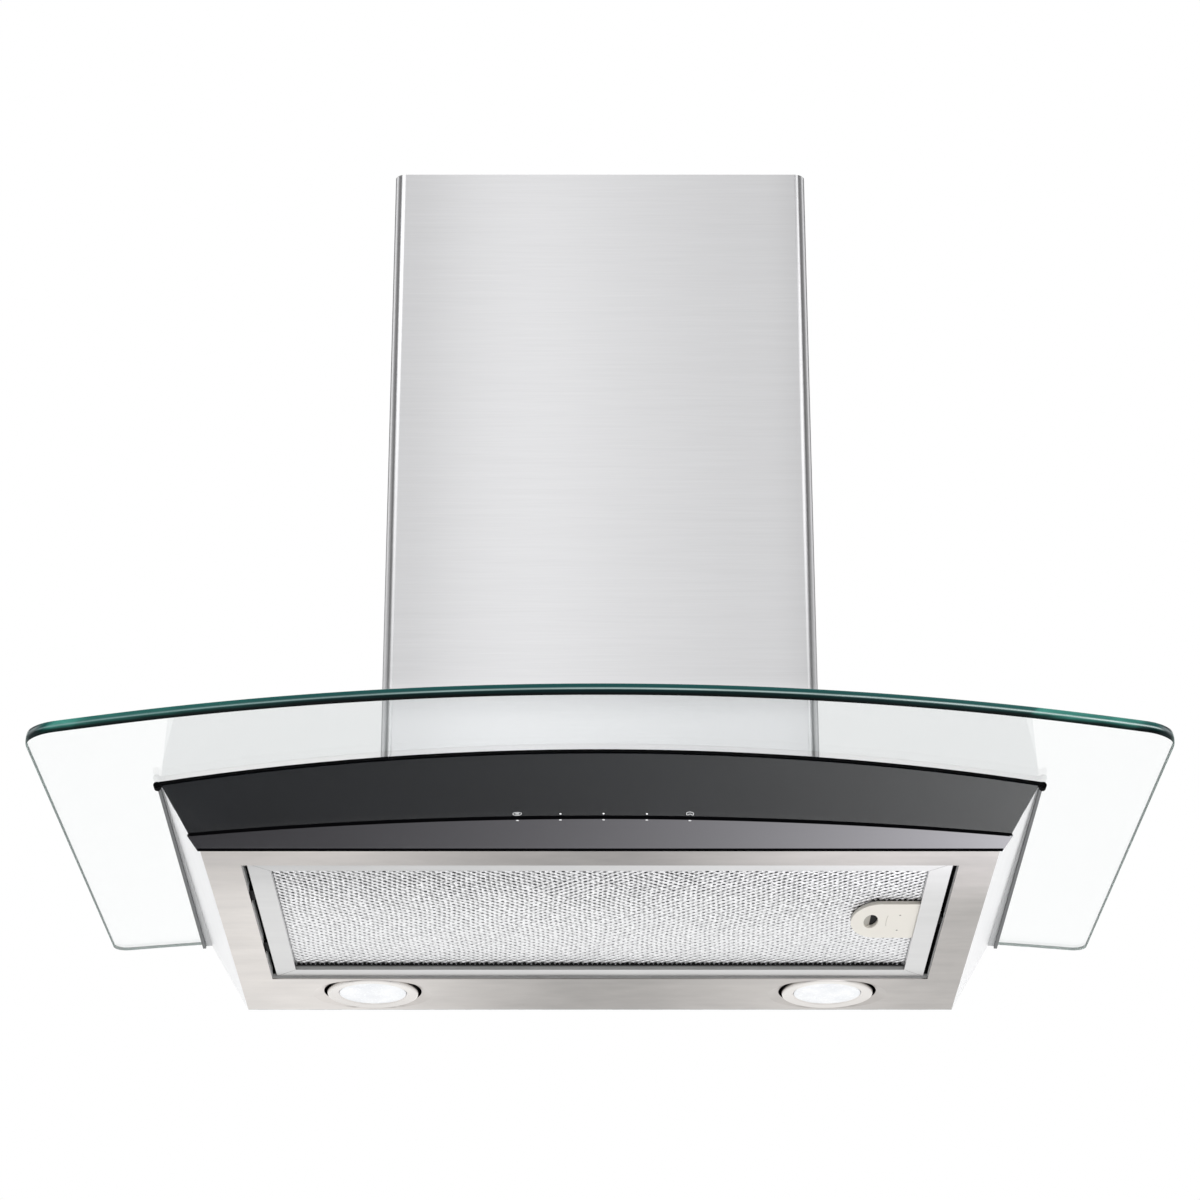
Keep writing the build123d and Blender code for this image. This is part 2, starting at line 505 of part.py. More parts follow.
put("capacitor", cz(CAP_X, CAP_Y, CAP_Z, CAP_Z + 62, 16) + cz(CAP_X, CAP_Y, CAP_Z + 62, CAP_Z + 64, 12)
    + bx(CAP_X - 4, CAP_X - 3, CAP_Y - 3, CAP_Y + 3, CAP_Z + 63, CAP_Z + 70) + bx(CAP_X + 3, CAP_X + 4, CAP_Y - 3, CAP_Y + 3, CAP_Z + 63, CAP_Z + 70))

# ---------------------------------------------------------------- outlet collar with two non-return flaps
col = cz(0, DUCT_Y, 330, 332, 84) + cz(0, DUCT_Y, 330, 375, DUCT_R)
col = col - cz(0, DUCT_Y, 325, 380, 73.5)
col = col + (cz(0, DUCT_Y, 334.0, 336.4, 74) - cz(0, DUCT_Y, 330, 340, 68.5))
col = col + (bx(-8.5, 8.5, DUCT_Y - 74, DUCT_Y + 74, 333.0, 335.0) & cz(0, DUCT_Y, 330, 340, 74))
for s in (1, -1):
    col = col - cyy(s * FLAP_X, DUCT_Y - 80, DUCT_Y + 80, FLAP_Z, 1.5)
put("outlet_collar", col)
pins = []
for s in (1, -1):
    pins.append(cyy(s * FLAP_X, DUCT_Y - 74.5, DUCT_Y + 74.5, FLAP_Z, 1.5))
    disc = cz(0, DUCT_Y, 336.9, 338.1, 71.6) & bx(min(s * 4.6, s * 80), max(s * 4.6, s * 80), -300, 100, 330, 345)
    kn = cyy(s * FLAP_X, DUCT_Y - 60, DUCT_Y + 60, FLAP_Z, 2.7)
    f = (disc + kn) - cyy(s * FLAP_X, DUCT_Y - 90, DUCT_Y + 90, FLAP_Z, 1.56)
    put("flap_right" if s > 0 else "flap_left", max(f.solids(), key=lambda q: q.volume))
put("flap_pins", group(*pins))

# ---------------------------------------------------------------- mains connection
tb = bx(84, 133, -250, -190, 262, 322) - bx(80, 131, -248, -192, 264, 320) - cz(108, -220, 300, 330, 8.0)
tb = tb - cz(120, -240, 255, 266, 3.5)
put("terminal_box", tb)
put("terminal_lid", bx(82, 84, -250, -190, 262, 322) - bx(83.2, 85, -247.8, -192.2, 264.2, 319.8))
blk = bx(117, 131, -236, -204, 276, 292)
for y in (-230, -220, -210):
    blk = blk - cx(115, 124, y, 288, 2.0)
put("terminal_block", blk)
gl = cz(108, -220, 316, 331, 8.0) + hexz(108, -220, 330, 336, 21) + cz(108, -220, 336, 346, 9.5)
put("cable_gland", gl - cz(108, -220, 310, 350, 4.5))
put("gland_nut", hexz(108, -220, 322.3, 327, 21) - cz(108, -220, 310, 350, 8.0))

put("mains_cable", sheath([(120, -240, 264.5), (120, -240, 40.5), (120, -345, 40.5), (120, -345, 32.0)], 3.6, 6.9))
put("low_voltage_cables", group(sheath([(230, -352, 18), (258, -352, 18), (258, -210, 18)], 20, 5.0),
                                sheath([(258, -110, 16), (258, LAMP_Y, 16), (LAMP_X + 27.5, LAMP_Y, 16)], 20, 4.0),
                                cx(-LAMP_X + 27.5, LAMP_X - 27.5, LAMP_Y, 12, 2.0)))
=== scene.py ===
import math
import random

import bmesh
import bpy
import numpy as np
from mathutils import Matrix, Vector
from mathutils.geometry import delaunay_2d_cdt


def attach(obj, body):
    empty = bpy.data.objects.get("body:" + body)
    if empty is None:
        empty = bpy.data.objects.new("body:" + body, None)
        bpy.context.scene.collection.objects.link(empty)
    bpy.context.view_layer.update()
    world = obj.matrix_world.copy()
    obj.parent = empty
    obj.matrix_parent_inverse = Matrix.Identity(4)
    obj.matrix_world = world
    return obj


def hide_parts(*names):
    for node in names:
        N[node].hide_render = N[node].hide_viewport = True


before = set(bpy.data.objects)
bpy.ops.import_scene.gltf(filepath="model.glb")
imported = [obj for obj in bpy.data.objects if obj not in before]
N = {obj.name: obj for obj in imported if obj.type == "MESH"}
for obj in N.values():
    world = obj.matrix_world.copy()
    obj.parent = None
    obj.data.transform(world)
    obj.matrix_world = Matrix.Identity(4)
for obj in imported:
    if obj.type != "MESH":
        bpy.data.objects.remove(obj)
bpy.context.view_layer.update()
SC = bpy.context.scene
MM = 0.001
rng = random.Random(11)

# ------------------------------------------------------------------ driving sizes, metres
GLASS_W, GLASS_WB, GLASS_D, GLASS_T = 0.762, 0.752, 0.486, 0.008
GLASS_Z, GLASS_R, GLASS_BOW = 0.0635, 4.234, 2.330
FASCIA_Y, FASCIA_LEAN, FASCIA_BOW = -0.4295, 0.6756, 1.130
LAMP_X, LAMP_Y = 0.1725, -0.0395


def arch_z(x, off=0.0):
    return GLASS_Z + off - ((GLASS_R + off) - math.sqrt((GLASS_R + off) ** 2 - x * x))


# ------------------------------------------------------------------ node helpers
class Mat:
    """A node material on one Principled shader."""

    def __init__(self, name):
        self.m = bpy.data.materials.new(name)
        self.m.use_nodes = True
        self.t = self.m.node_tree
        self.t.nodes.clear()
        self.out = self.add("ShaderNodeOutputMaterial")
        self.p = self.add("ShaderNodeBsdfPrincipled")
        self.t.links.new(self.p.outputs[0], self.out.inputs["Surface"])

    def add(self, kind, **kw):
        n = self.t.nodes.new(kind)
        for k, v in kw.items():
            setattr(n, k, v)
        return n

    def link(self, a, b):
        self.t.links.new(a, b)

    def set(self, **kw):
        names = {
            "color": "Base Color", "metal": "Metallic", "rough": "Roughness", "ior": "IOR", "spec": "Specular IOR Level",
            "aniso": "Anisotropic", "aniso_rot": "Anisotropic Rotation", "trans": "Transmission Weight", "coat": "Coat Weight",
            "coat_rough": "Coat Roughness", "emit": "Emission Color", "emit_s": "Emission Strength", "sss": "Subsurface Weight",
            "alpha": "Alpha",
        }
        for k, v in kw.items():
            s = self.p.inputs[names[k]]
            if isinstance(v, (int, float)) and s.type == "RGBA":
                v = (v, v, v, 1)
            elif s.type == "RGBA" and len(v) == 3:
                v = (*v, 1)
            s.default_value = v
        return self

    def coords(self, scale=(1, 1, 1), rot=(0, 0, 0), source="Object"):
        tc = self.add("ShaderNodeTexCoord")
        mp = self.add("ShaderNodeMapping")
        mp.inputs["Scale"].default_value = scale
        mp.inputs["Rotation"].default_value = rot
        self.link(tc.outputs[source], mp.inputs["Vector"])
        return mp.outputs["Vector"]

    def noise(self, vec, scale=1.0, detail=3.0, rough=0.55, distortion=0.0):
        n = self.add("ShaderNodeTexNoise")
        n.inputs["Scale"].default_value = scale
        n.inputs["Detail"].default_value = detail
        n.inputs["Roughness"].default_value = rough
        n.inputs["Distortion"].default_value = distortion
        if vec is not None:
            self.link(vec, n.inputs["Vector"])
        return n.outputs["Fac"]

    def rng(self, val, a0, a1, b0, b1, smooth=False):
        n = self.add("ShaderNodeMapRange")
        if smooth:
            n.interpolation_type = "SMOOTHSTEP"
        for i, v in zip((1, 2, 3, 4), (a0, a1, b0, b1)):
            n.inputs[i].default_value = v
        self.link(val, n.inputs[0])
        return n.outputs[0]

    def math(self, op, a, b=None):
        n = self.add("ShaderNodeMath", operation=op)
        for i, v in enumerate((a, b)):
            if v is None:
                continue
            if isinstance(v, (int, float)):
                n.inputs[i].default_value = v
            else:
                self.link(v, n.inputs[i])
        return n.outputs[0]

    def mix(self, fac, a, b, blend="MIX"):
        n = self.add("ShaderNodeMix", data_type="RGBA", blend_type=blend)
        ins = [n.inputs[0], n.inputs[6], n.inputs[7]]
        for s, v in zip(ins, (fac, a, b)):
            if isinstance(v, (int, float)):
                s.default_value = v if s.type == "VALUE" else (v, v, v, 1)
            elif isinstance(v, tuple):
                s.default_value = (*v, 1) if len(v) == 3 else v
            else:
                self.link(v, s)
        return n.outputs[2]

    def bump(self, height, strength=0.2, dist=0.0002, normal=None):
        n = self.add("ShaderNodeBump")
        n.inputs["Strength"].default_value = strength
        n.inputs["Distance"].default_value = dist
        self.link(height, n.inputs["Height"])
        if normal is not None:
            self.link(normal, n.inputs["Normal"])
        self.link(n.outputs[0], self.p.inputs["Normal"])
        return n.outputs[0]

    def tangent(self, axis):
        n = self.add("ShaderNodeTangent", direction_type="RADIAL", axis=axis)
        self.link(n.outputs[0], self.p.inputs["Tangent"])


def scaled(c, k):
    return tuple(min(1.0, v * k) for v in c[:3])


def brushed(name, base, rough, along="X", aniso=0.6, axis="Z", streak=0.05, blotch=0.03, sheet=None, fine=1.0, rise=None, bump=0.12, cloud=0.0, grain=None, long=0.7, rvar=1.0):
    """Brushed sheet metal: grain runs along X (or Y), with fine streaks, longer bands and soft cloudy patches."""
    m = Mat(name)
    m.set(metal=1.0, rough=rough, aniso=aniso, aniso_rot=0.25 if aniso else 0.0)
    if along == "X":
        sc1, sc2, sc3 = (5, 420, 1100), (1.4, 110, 300), (6, 9, 9)
    elif along == "Y":
        sc1, sc2, sc3 = (900, 9, 900), (190, 2.2, 190), (7, 7, 7)
    else:
        sc1, sc2, sc3 = (9, 900, 260), (2.2, 190, 60), (7, 7, 7)
    sc1 = tuple(v * fine if v > 20 else v for v in sc1)
    if grain is not None:
        sc1, sc2 = grain
    a = m.noise(m.coords(sc1), 1.0, 4.0, 0.62)
    b = m.noise(m.coords(sc2), 1.0, 3.0, 0.6)
    c = m.noise(m.coords(sc3), 1.0, 2.0, 0.5)
    k = m.math("ADD", m.rng(a, 0.3, 0.7, -streak, streak), m.rng(b, 0.3, 0.7, -streak * long, streak * long))
    k = m.math("ADD", k, m.rng(c, 0.35, 0.65, -blotch, blotch))
    if cloud:
        k = m.math("ADD", k, m.rng(m.noise(m.coords((20, 46, 46)), 1.0, 4.0, 0.6), 0.32, 0.68, -cloud, cloud))
    if sheet is not None:  # painted highlight and shade: a slow change of tone across the sheet, in bands of (centre, half width, amount) along X
        for cx, hw, amt in sheet:
            x = m.add("ShaderNodeSeparateXYZ")
            m.link(m.coords((1, 1, 1)), x.inputs[0])
            d = m.math("DIVIDE", m.math("SUBTRACT", x.outputs[0], cx), hw)
            g = m.math("POWER", 2.71828, m.math("MULTIPLY", m.math("MULTIPLY", d, d), -1.0))
            k = m.math("ADD", k, m.math("MULTIPLY", g, amt))
    if rise is not None:  # (height, half width, amount, y): painted light, the front of the sheet made lighter below this height
        z = m.add("ShaderNodeSeparateXYZ")
        m.link(m.coords((1, 1, 1)), z.inputs[0])
        glow_ = m.rng(z.outputs[2], rise[0] - rise[1], rise[0] + rise[1], rise[2], 0.0, True)
        k = m.math("ADD", k, m.math("MULTIPLY", glow_, m.rng(z.outputs[1], rise[3], rise[3] + 0.004, 1.0, 0.0)))
    lowc, highc = tuple(v * 0.5 for v in base), tuple(v * 1.5 for v in base)
    col = m.mix(m.rng(k, -0.5, 0.5, 0.0, 1.0), lowc, highc)
    m.link(col, m.p.inputs["Base Color"])
    r = m.math("ADD", m.rng(a, 0.3, 0.7, rough - 0.05 * rvar, rough + 0.06 * rvar), m.rng(c, 0.35, 0.65, -0.02 * rvar, 0.03 * rvar))
    m.link(r, m.p.inputs["Roughness"])
    if axis:
        m.tangent(axis)
    if bump:
        m.bump(a, bump, 0.00006)
    return m.m


def galvanised(name, base=(0.56, 0.575, 0.585), rough=0.38):
    m = Mat(name)
    m.set(metal=1.0, rough=rough)
    v = m.add("ShaderNodeTexVoronoi", feature="F1")
    v.inputs["Scale"].default_value = 95.0
    n = m.noise(m.coords((30, 30, 30)), 1.0, 3.0)
    warp = m.add("ShaderNodeVectorMath", operation="ADD")
    m.link(m.coords((1, 1, 1)), warp.inputs[0])
    comb = m.add("ShaderNodeCombineXYZ")
    s = m.rng(n, 0.3, 0.7, -0.004, 0.004)
    for i in range(3):
        m.link(s, comb.inputs[i])
    m.link(comb.outputs[0], warp.inputs[1])
    m.link(warp.outputs[0], v.inputs["Vector"])
    sep = m.add("ShaderNodeSeparateColor")
    m.link(v.outputs["Color"], sep.inputs[0])
    m.link(m.mix(sep.outputs[0], scaled(base, 0.88), scaled(base, 1.14)), m.p.inputs["Base Color"])
    m.link(m.rng(sep.outputs[1], 0, 1, rough - 0.08, rough + 0.1), m.p.inputs["Roughness"])
    m.bump(m.noise(m.coords((400, 400, 400)), 1.0, 2.0), 0.06, 0.0002)
    return m.m


def moulded(name, base, rough=0.42, grain=0.10, var=0.05, scale=1400, spec=0.5, coat=0.0, bump_d=0.00008):
    """Moulded plastic or rubber: a fine pebbled skin with slow changes of tone and gloss."""
    m = Mat(name)
    m.set(metal=0.0, rough=rough, spec=spec, coat=coat, coat_rough=0.15)
    a = m.noise(m.coords((scale,) * 3), 1.0, 2.0, 0.5)
    b = m.noise(m.coords((22, 22, 22)), 1.0, 3.0, 0.55)
    m.link(m.mix(m.rng(b, 0.3, 0.7, 0, 1), scaled(base, 1 - var), scaled(base, 1 + var)), m.p.inputs["Base Color"])
    m.link(m.math("ADD", m.rng(b, 0.3, 0.7, rough - 0.04, rough + 0.04), m.rng(a, 0.3, 0.7, -0.03, 0.03)), m.p.inputs["Roughness"])
    m.bump(a, grain, bump_d)
    return m.m


def plated(name, base=(0.66, 0.67, 0.66), rough=0.25, var=0.06):
    m = Mat(name)
    m.set(metal=1.0, rough=rough)
    b = m.noise(m.coords((160, 160, 160)), 1.0, 3.0)
    m.link(m.mix(m.rng(b, 0.3, 0.7, 0, 1), scaled(base, 1 - var), scaled(base, 1 + var)), m.p.inputs["Base Color"])
    m.link(m.rng(b, 0.3, 0.7, rough - 0.06, rough + 0.08), m.p.inputs["Roughness"])
    return m.m


# ------------------------------------------------------------------ materials
# chimney front: its bands of tone are painted highlights and painted shade, and its rise is painted light above the
# glass
CHIM = brushed("brushed_steel_cover", (0.655, 0.655, 0.665), 0.30, "X", aniso=0.85, axis="Z", streak=0.020, blotch=0.006,
               sheet=[(-0.05, 0.065, 0.10), (0.125, 0.07, -0.09), (-0.15, 0.04, -0.12), (0.156, 0.02, -0.12)], rise=(0.145, 0.018, 0.40, -0.2805), bump=0.0, rvar=0.15,
               grain=((24, 420, 1150), (9, 150, 460)), long=0.8)
# underside: its bands of tone are painted shade in the middle and on the right, painted light on the left
PAN = brushed("brushed_steel_body", (0.600, 0.572, 0.547), 0.34, "X", aniso=0.55, axis="Y", streak=0.035, blotch=0.05,
              sheet=[(0.004, 0.114, -0.47), (-0.22, 0.09, 0.20), (0.27, 0.09, -0.32)], bump=0.08, cloud=0.05)
# a brighter copy of the body's steel for its side walls: a painted reflection
LIT_SIDE = brushed("brushed_steel_side_painted_bright", (0.93, 0.93, 0.94), 0.42, "Y", aniso=0.0, axis=None, streak=0.02, blotch=0.01, bump=0.05)
next(n for n in LIT_SIDE.node_tree.nodes if n.type == "BSDF_PRINCIPLED").inputs["Metallic"].default_value = 0.7
FRAME = brushed("frame_aluminium", (0.625, 0.625, 0.622), 0.34, "X", aniso=0.0, axis=None, streak=0.03, blotch=0.03, bump=0.05, cloud=0.02)
GALV = galvanised("galvanised_steel")
ALU = brushed("satin_aluminium", (0.70, 0.70, 0.695), 0.36, "X", aniso=0.0, axis=None, streak=0.03, blotch=0.02, bump=0.05)


def foil_tone(name, front, back, rough=0.34, var=0.10, metal=1.0):
    """Aluminium foil whose tone changes from the front edge of the filter to its back as painted light and shade, with
    small patches.
    """
    m = Mat(name)
    m.set(metal=metal, rough=rough)
    y = m.add("ShaderNodeSeparateXYZ")
    m.link(m.coords((1, 1, 1)), y.inputs[0])
    patch = m.noise(m.coords((26, 40, 40)), 1.0, 3.0)
    t = m.math("ADD", m.rng(y.outputs[1], -0.300, -0.150, 0.0, 1.0, True), m.rng(patch, 0.3, 0.7, -0.22, 0.22))
    col = m.mix(m.rng(t, 0.0, 1.0, 0.0, 1.0), front, back)
    f = m.noise(m.coords((420, 420, 420)), 1.0, 2.0)
    m.link(m.mix(m.rng(f, 0.3, 0.7, 0.0, var), col, (0.0, 0.0, 0.0)), m.p.inputs["Base Color"])
    m.link(m.rng(f, 0.3, 0.7, rough - 0.06, rough + 0.08), m.p.inputs["Roughness"])
    return m.m


# painted light and shade on the filter: the bright foil, a shaded copy for the turned strands, and a near-black copy
# for the openings and the core seen through them
MESH_ALU = foil_tone("mesh_aluminium", (0.90, 0.90, 0.91), (0.86, 0.86, 0.87), 0.30, 0.08)
MESH_SHADE = foil_tone("mesh_strand_painted_shade", (0.53, 0.53, 0.535), (0.72, 0.72, 0.73), 0.36, 0.12)
MESH_DARK = foil_tone("mesh_core_and_hole_shade", (0.035, 0.035, 0.037), (0.26, 0.26, 0.27), 0.55, 0.20)
SEAL = moulded("grey_rubber", (0.115, 0.12, 0.125), 0.5, 0.05)
SEAL_PALE = moulded("pale_foam_tape", (0.60, 0.61, 0.62), 0.6, 0.08, 0.04)
BLACK_SEAL = moulded("black_rubber", (0.0035, 0.0035, 0.004), 0.75, 0.03, spec=0.02)
# near-black painted shade for the filter's seat, hinge tabs and catch, the latch tongue, the cut-open cells and the
# pocket of the latch, where the gaps lie in shadow
SHADE_BLACK = moulded("black_painted_shade", (0.006, 0.006, 0.0065), 0.7, 0.03, spec=0.12)
CREAM = moulded("cream_plastic", (0.80, 0.765, 0.70), 0.42, 0.05, 0.02)
WHITE_P = moulded("white_plastic", (0.66, 0.66, 0.63), 0.45)
BLACK_P = moulded("black_plastic", (0.022, 0.022, 0.024), 0.42)
GREY_P = moulded("grey_plastic", (0.20, 0.205, 0.21), 0.48)
ZINC = plated("zinc_plate", (0.64, 0.65, 0.66), 0.28)
SPRING = plated("spring_steel", (0.50, 0.50, 0.51), 0.22)
SHAFT = plated("ground_steel", (0.62, 0.62, 0.63), 0.18)
DIECAST = plated("diecast_aluminium", (0.52, 0.53, 0.54), 0.48, 0.1)
CAN = plated("drawn_can", (0.70, 0.70, 0.71), 0.30)
CABLE = moulded("cable_sheath", (0.018, 0.018, 0.018), 0.5, 0.04)
LAMP_METAL = brushed("lamp_ring_metal", (0.70, 0.675, 0.65), 0.30, "X", aniso=0.0, axis=None, streak=0.02, blotch=0.02, bump=0.04)


def black_glass(name, base, rough=0.035, var=0.15):
    m = Mat(name)
    m.set(metal=0.0, rough=rough, ior=1.52, spec=0.5)
    b = m.noise(m.coords((9, 9, 9)), 1.0, 3.0)
    m.link(m.mix(m.rng(b, 0.3, 0.7, 0, 1), scaled(base, 1 - var), scaled(base, 1 + var)), m.p.inputs["Base Color"])
    m.link(m.rng(m.noise(m.coords((60, 60, 60)), 1.0, 4.0), 0.35, 0.65, rough - 0.01, rough + 0.015), m.p.inputs["Roughness"])
    return m.m


BLACK_GLASS = black_glass("black_backed_glass", (0.0045, 0.005, 0.0065))
# the black ground edge of the fascia, and the same black as painted shade along the back of the strip and at the foot
# of the fascia
BLACK_EDGE = moulded("black_ground_edge_and_gap_shade", (0.0025, 0.0025, 0.003), 0.8, 0.02, spec=0.0)
STRIP_GLASS = black_glass("black_gloss_strip", (0.009, 0.009, 0.0115), 0.05)
next(n for n in STRIP_GLASS.node_tree.nodes if n.type == "BSDF_PRINCIPLED").inputs["Specular Tint"].default_value = (0.965, 0.96, 1.0, 1)


def pcb(name):
    m = Mat(name)
    m.set(metal=0.0, rough=0.35)
    v = m.add("ShaderNodeTexBrick")
    v.inputs["Scale"].default_value = 60
    m.link(m.coords((1, 1, 1)), v.inputs["Vector"])
    v.inputs["Color1"].default_value = (0.01, 0.10, 0.035, 1)
    v.inputs["Color2"].default_value = (0.012, 0.12, 0.04, 1)
    v.inputs["Mortar"].default_value = (0.02, 0.17, 0.06, 1)
    m.link(v.outputs["Color"], m.p.inputs["Base Color"])
    return m.m


PCB = pcb("circuit_board")


def clear_glass(name):
    """Clear float glass: no body colour of its own, greener with depth; its dark green cut edges have a material of
    their own. Lamps reach through it.
    """
    m = Mat(name)
    m.set(color=(1, 1, 1), rough=0.0, ior=1.46, trans=1.0, spec=0.5)
    lp = m.add("ShaderNodeLightPath")
    tr = m.add("ShaderNodeBsdfTransparent")
    tr.inputs[0].default_value = (0.93, 0.975, 0.97, 1)
    mx = m.add("ShaderNodeMixShader")
    m.link(lp.outputs["Is Shadow Ray"], mx.inputs[0])
    m.link(m.p.outputs[0], mx.inputs[1])
    m.link(tr.outputs[0], mx.inputs[2])
    m.link(mx.outputs[0], m.out.inputs["Surface"])
    va = m.add("ShaderNodeVolumeAbsorption")
    va.inputs["Color"].default_value = (0.08, 0.33, 0.31, 1)
    va.inputs["Density"].default_value = 4.5
    m.link(va.outputs[0], m.out.inputs["Volume"])
    return m.m


GLASS = clear_glass("clear_float_glass")


def cut_edge(name):
    """Polished edge of the float glass: dark green, with painted shade deepest at its foot, painted reflections as
    brighter patches toward the front corners and a painted highlight line along its middle, and pale along the sides.
    """
    m = Mat(name)
    m.set(metal=0.0, rough=0.08, ior=1.52, spec=0.07)
    q = m.add("ShaderNodeSeparateXYZ")
    m.link(m.coords((1, 1, 1)), q.inputs[0])
    x, y, z = q.outputs
    rise = m.math("ADD", m.math("SUBTRACT", z, GLASS_Z), m.math("MULTIPLY", m.math("MULTIPLY", x, x), 0.5 / GLASS_R))
    h = m.math("DIVIDE", rise, GLASS_T)
    drawn = m.noise(m.coords((9, 9, 420)), 1.0, 3.0, 0.6)
    hw = m.math("ADD", h, m.rng(drawn, 0.3, 0.7, -0.07, 0.07))
    # painted shade: the green is darkest at the foot of the edge and brighter toward its top
    ramp = m.add("ShaderNodeValToRGB")
    stops = [(0.0, (0.0002, 0.0006, 0.0006)), (0.14, (0.0004, 0.0030, 0.0032)), (0.30, (0.0012, 0.0095, 0.0105)), (0.46, (0.0018, 0.016, 0.017)),
             (0.58, (0.0070, 0.045, 0.044)), (0.88, (0.0115, 0.060, 0.058)), (1.0, (0.020, 0.075, 0.072))]
    while len(ramp.color_ramp.elements) < len(stops):
        ramp.color_ramp.elements.new(0.5)
    for el, (pos, c) in zip(ramp.color_ramp.elements, stops):
        el.position = pos
        el.color = (*c, 1)
    m.link(hw, ramp.inputs[0])
    # painted reflections: how bright the green is along the front edge, from the left corner to the right one
    patch = m.noise(m.coords((60, 10, 500)), 1.0, 2.0)
    along = m.add("ShaderNodeValToRGB")
    runs = [(-0.381, 0.10), (-0.366, 0.12), (-0.361, 0.85), (-0.346, 0.80), (-0.341, 0.38), (-0.300, 0.24), (-0.200, 0.05), (0.0, 0.0), (0.190, 0.05),
            (0.283, 0.14), (0.287, 0.92), (0.312, 0.62), (0.333, 0.42), (0.341, 0.74), (0.352, 0.66), (0.358, 0.12), (0.381, 0.08)]
    while len(along.color_ramp.elements) < len(runs):
        along.color_ramp.elements.new(0.5)
    for el, (pos, v) in zip(along.color_ramp.elements, runs):
        el.position = (pos + 0.381) / 0.762
        el.color = (v, v, v, 1)
    lean = m.math("ADD", x, m.rng(h, 0.0, 1.0, 0.004, -0.004))
    m.link(m.rng(lean, -0.381, 0.381, 0.0, 1.0), along.inputs[0])
    corner = m.math("MULTIPLY", along.outputs[0], m.rng(hw, 0.10, 0.46, 0.06, 1.0, True))
    corner = m.math("MULTIPLY", corner, m.rng(patch, 0.3, 0.7, 0.55, 1.12))
    col = m.mix(corner, ramp.outputs[0], (0.055, 0.255, 0.205))
    # a fine painted highlight line along the middle of the edge
    d = m.math("DIVIDE", m.math("SUBTRACT", h, 0.47), 0.065)
    line = m.math("POWER", 2.71828, m.math("MULTIPLY", m.math("MULTIPLY", d, d), -1.0))
    col = m.mix(m.math("MULTIPLY", line, m.rng(drawn, 0.3, 0.7, 0.55, 0.95)), col, m.mix(m.rng(x, -0.30, 0.30, 0.0, 1.0), (0.17, 0.28, 0.275), (0.55, 0.66, 0.65)))
    # painted reflection at the turn of each corner: nearly black with a grey line
    ax = m.math("ABSOLUTE", x)
    turn = m.rng(ax, 0.3655, 0.3735, 0.0, 1.0, True)
    t = m.math("DIVIDE", m.math("SUBTRACT", hw, 0.62), 0.16)
    grey = m.mix(m.math("POWER", 2.71828, m.math("MULTIPLY", m.math("MULTIPLY", t, t), -1.0)), (0.006, 0.013, 0.014), (0.135, 0.165, 0.170))
    col = m.mix(turn, col, grey)
    # along the sides and the back the edge is pale grey-green: the green of the glass lightened by a painted
    # reflection, darker toward the foot as painted shade
    side = m.mix(m.rng(hw, 0.0, 0.5, 0.0, 1.0, True), (0.20, 0.30, 0.27), (0.36, 0.46, 0.43))
    col = m.mix(m.rng(y, -0.448, -0.432, 0.0, 1.0, True), col, side)
    m.link(col, m.p.inputs["Base Color"])
    return m.m


CUT_EDGE = cut_edge("glass_cut_edge")


def lens_material(name):
    m = Mat(name)
    # a faint emission over the frosted lens: a painted glow
    m.set(color=(0.80, 0.82, 0.85), rough=0.22, spec=0.35, emit=(0.97, 0.98, 1.0), emit_s=0.22)
    a = m.noise(m.coords((700, 700, 700)), 1.0, 3.0)
    b = m.noise(m.coords((60, 60, 60)), 1.0, 3.0)
    m.link(m.mix(m.rng(b, 0.3, 0.7, 0, 1), (0.60, 0.62, 0.65), (0.74, 0.75, 0.76)), m.p.inputs["Base Color"])
    m.link(m.rng(a, 0.3, 0.7, 0.16, 0.3), m.p.inputs["Roughness"])
    m.bump(a, 0.1, 0.0001)
    return m.m


LENS = lens_material("frosted_lens_painted_glow")


def print_white(name):
    m = Mat(name)
    # a faint emission over the white print: a painted glow
    m.set(color=(0.7, 0.7, 0.72), rough=0.5, emit=(1, 1, 1), emit_s=0.10)
    a = m.noise(m.coords((2500, 2500, 2500)), 1.0, 1.0)
    m.link(m.mix(m.rng(a, 0.3, 0.7, 0, 1), (0.74, 0.74, 0.75), (0.86, 0.86, 0.87)), m.p.inputs["Base Color"])
    return m.m


PRINT = print_white("white_print_painted_glow")

# painted shade: a darker copy of the cream plastic for the slope of the latch's finger hole
HOLLOW_SHADE = moulded("cream_hollow_shade", (0.36, 0.34, 0.30), 0.5, 0.05, 0.04)


def seat_wall(name, dark, light, z0, z1):
    """A wall beside the filter: bare steel near the opening in a grey set per wall as painted light and shade, black
    above as painted shade.
    """
    m = Mat(name)
    m.set(metal=0.0, rough=0.6, spec=0.2)
    z = m.add("ShaderNodeSeparateXYZ")
    m.link(m.coords((1, 1, 1)), z.inputs[0])
    a = m.noise(m.coords((30, 90, 90)), 1.0, 3.0)
    grey = m.mix(m.rng(a, 0.3, 0.7, 0, 1), (dark,) * 3, (light,) * 3)
    m.link(m.mix(m.rng(z.outputs[2], z0, z1, 0.0, 1.0), grey, (0.006, 0.006, 0.0065)), m.p.inputs["Base Color"])
    return m.m


# painted light and shade: each wall of the seat has its own grey and its own height where the black painted shade
# begins
SEAT_LEFT = seat_wall("seat_wall_left", 0.74, 0.90, 0.0082, 0.0094)
SEAT_RIGHT = seat_wall("seat_wall_right", 0.66, 0.80, 0.0042, 0.0051)
SEAT_BACK = seat_wall("seat_wall_back", 0.42, 0.55, 0.0034, 0.0048)


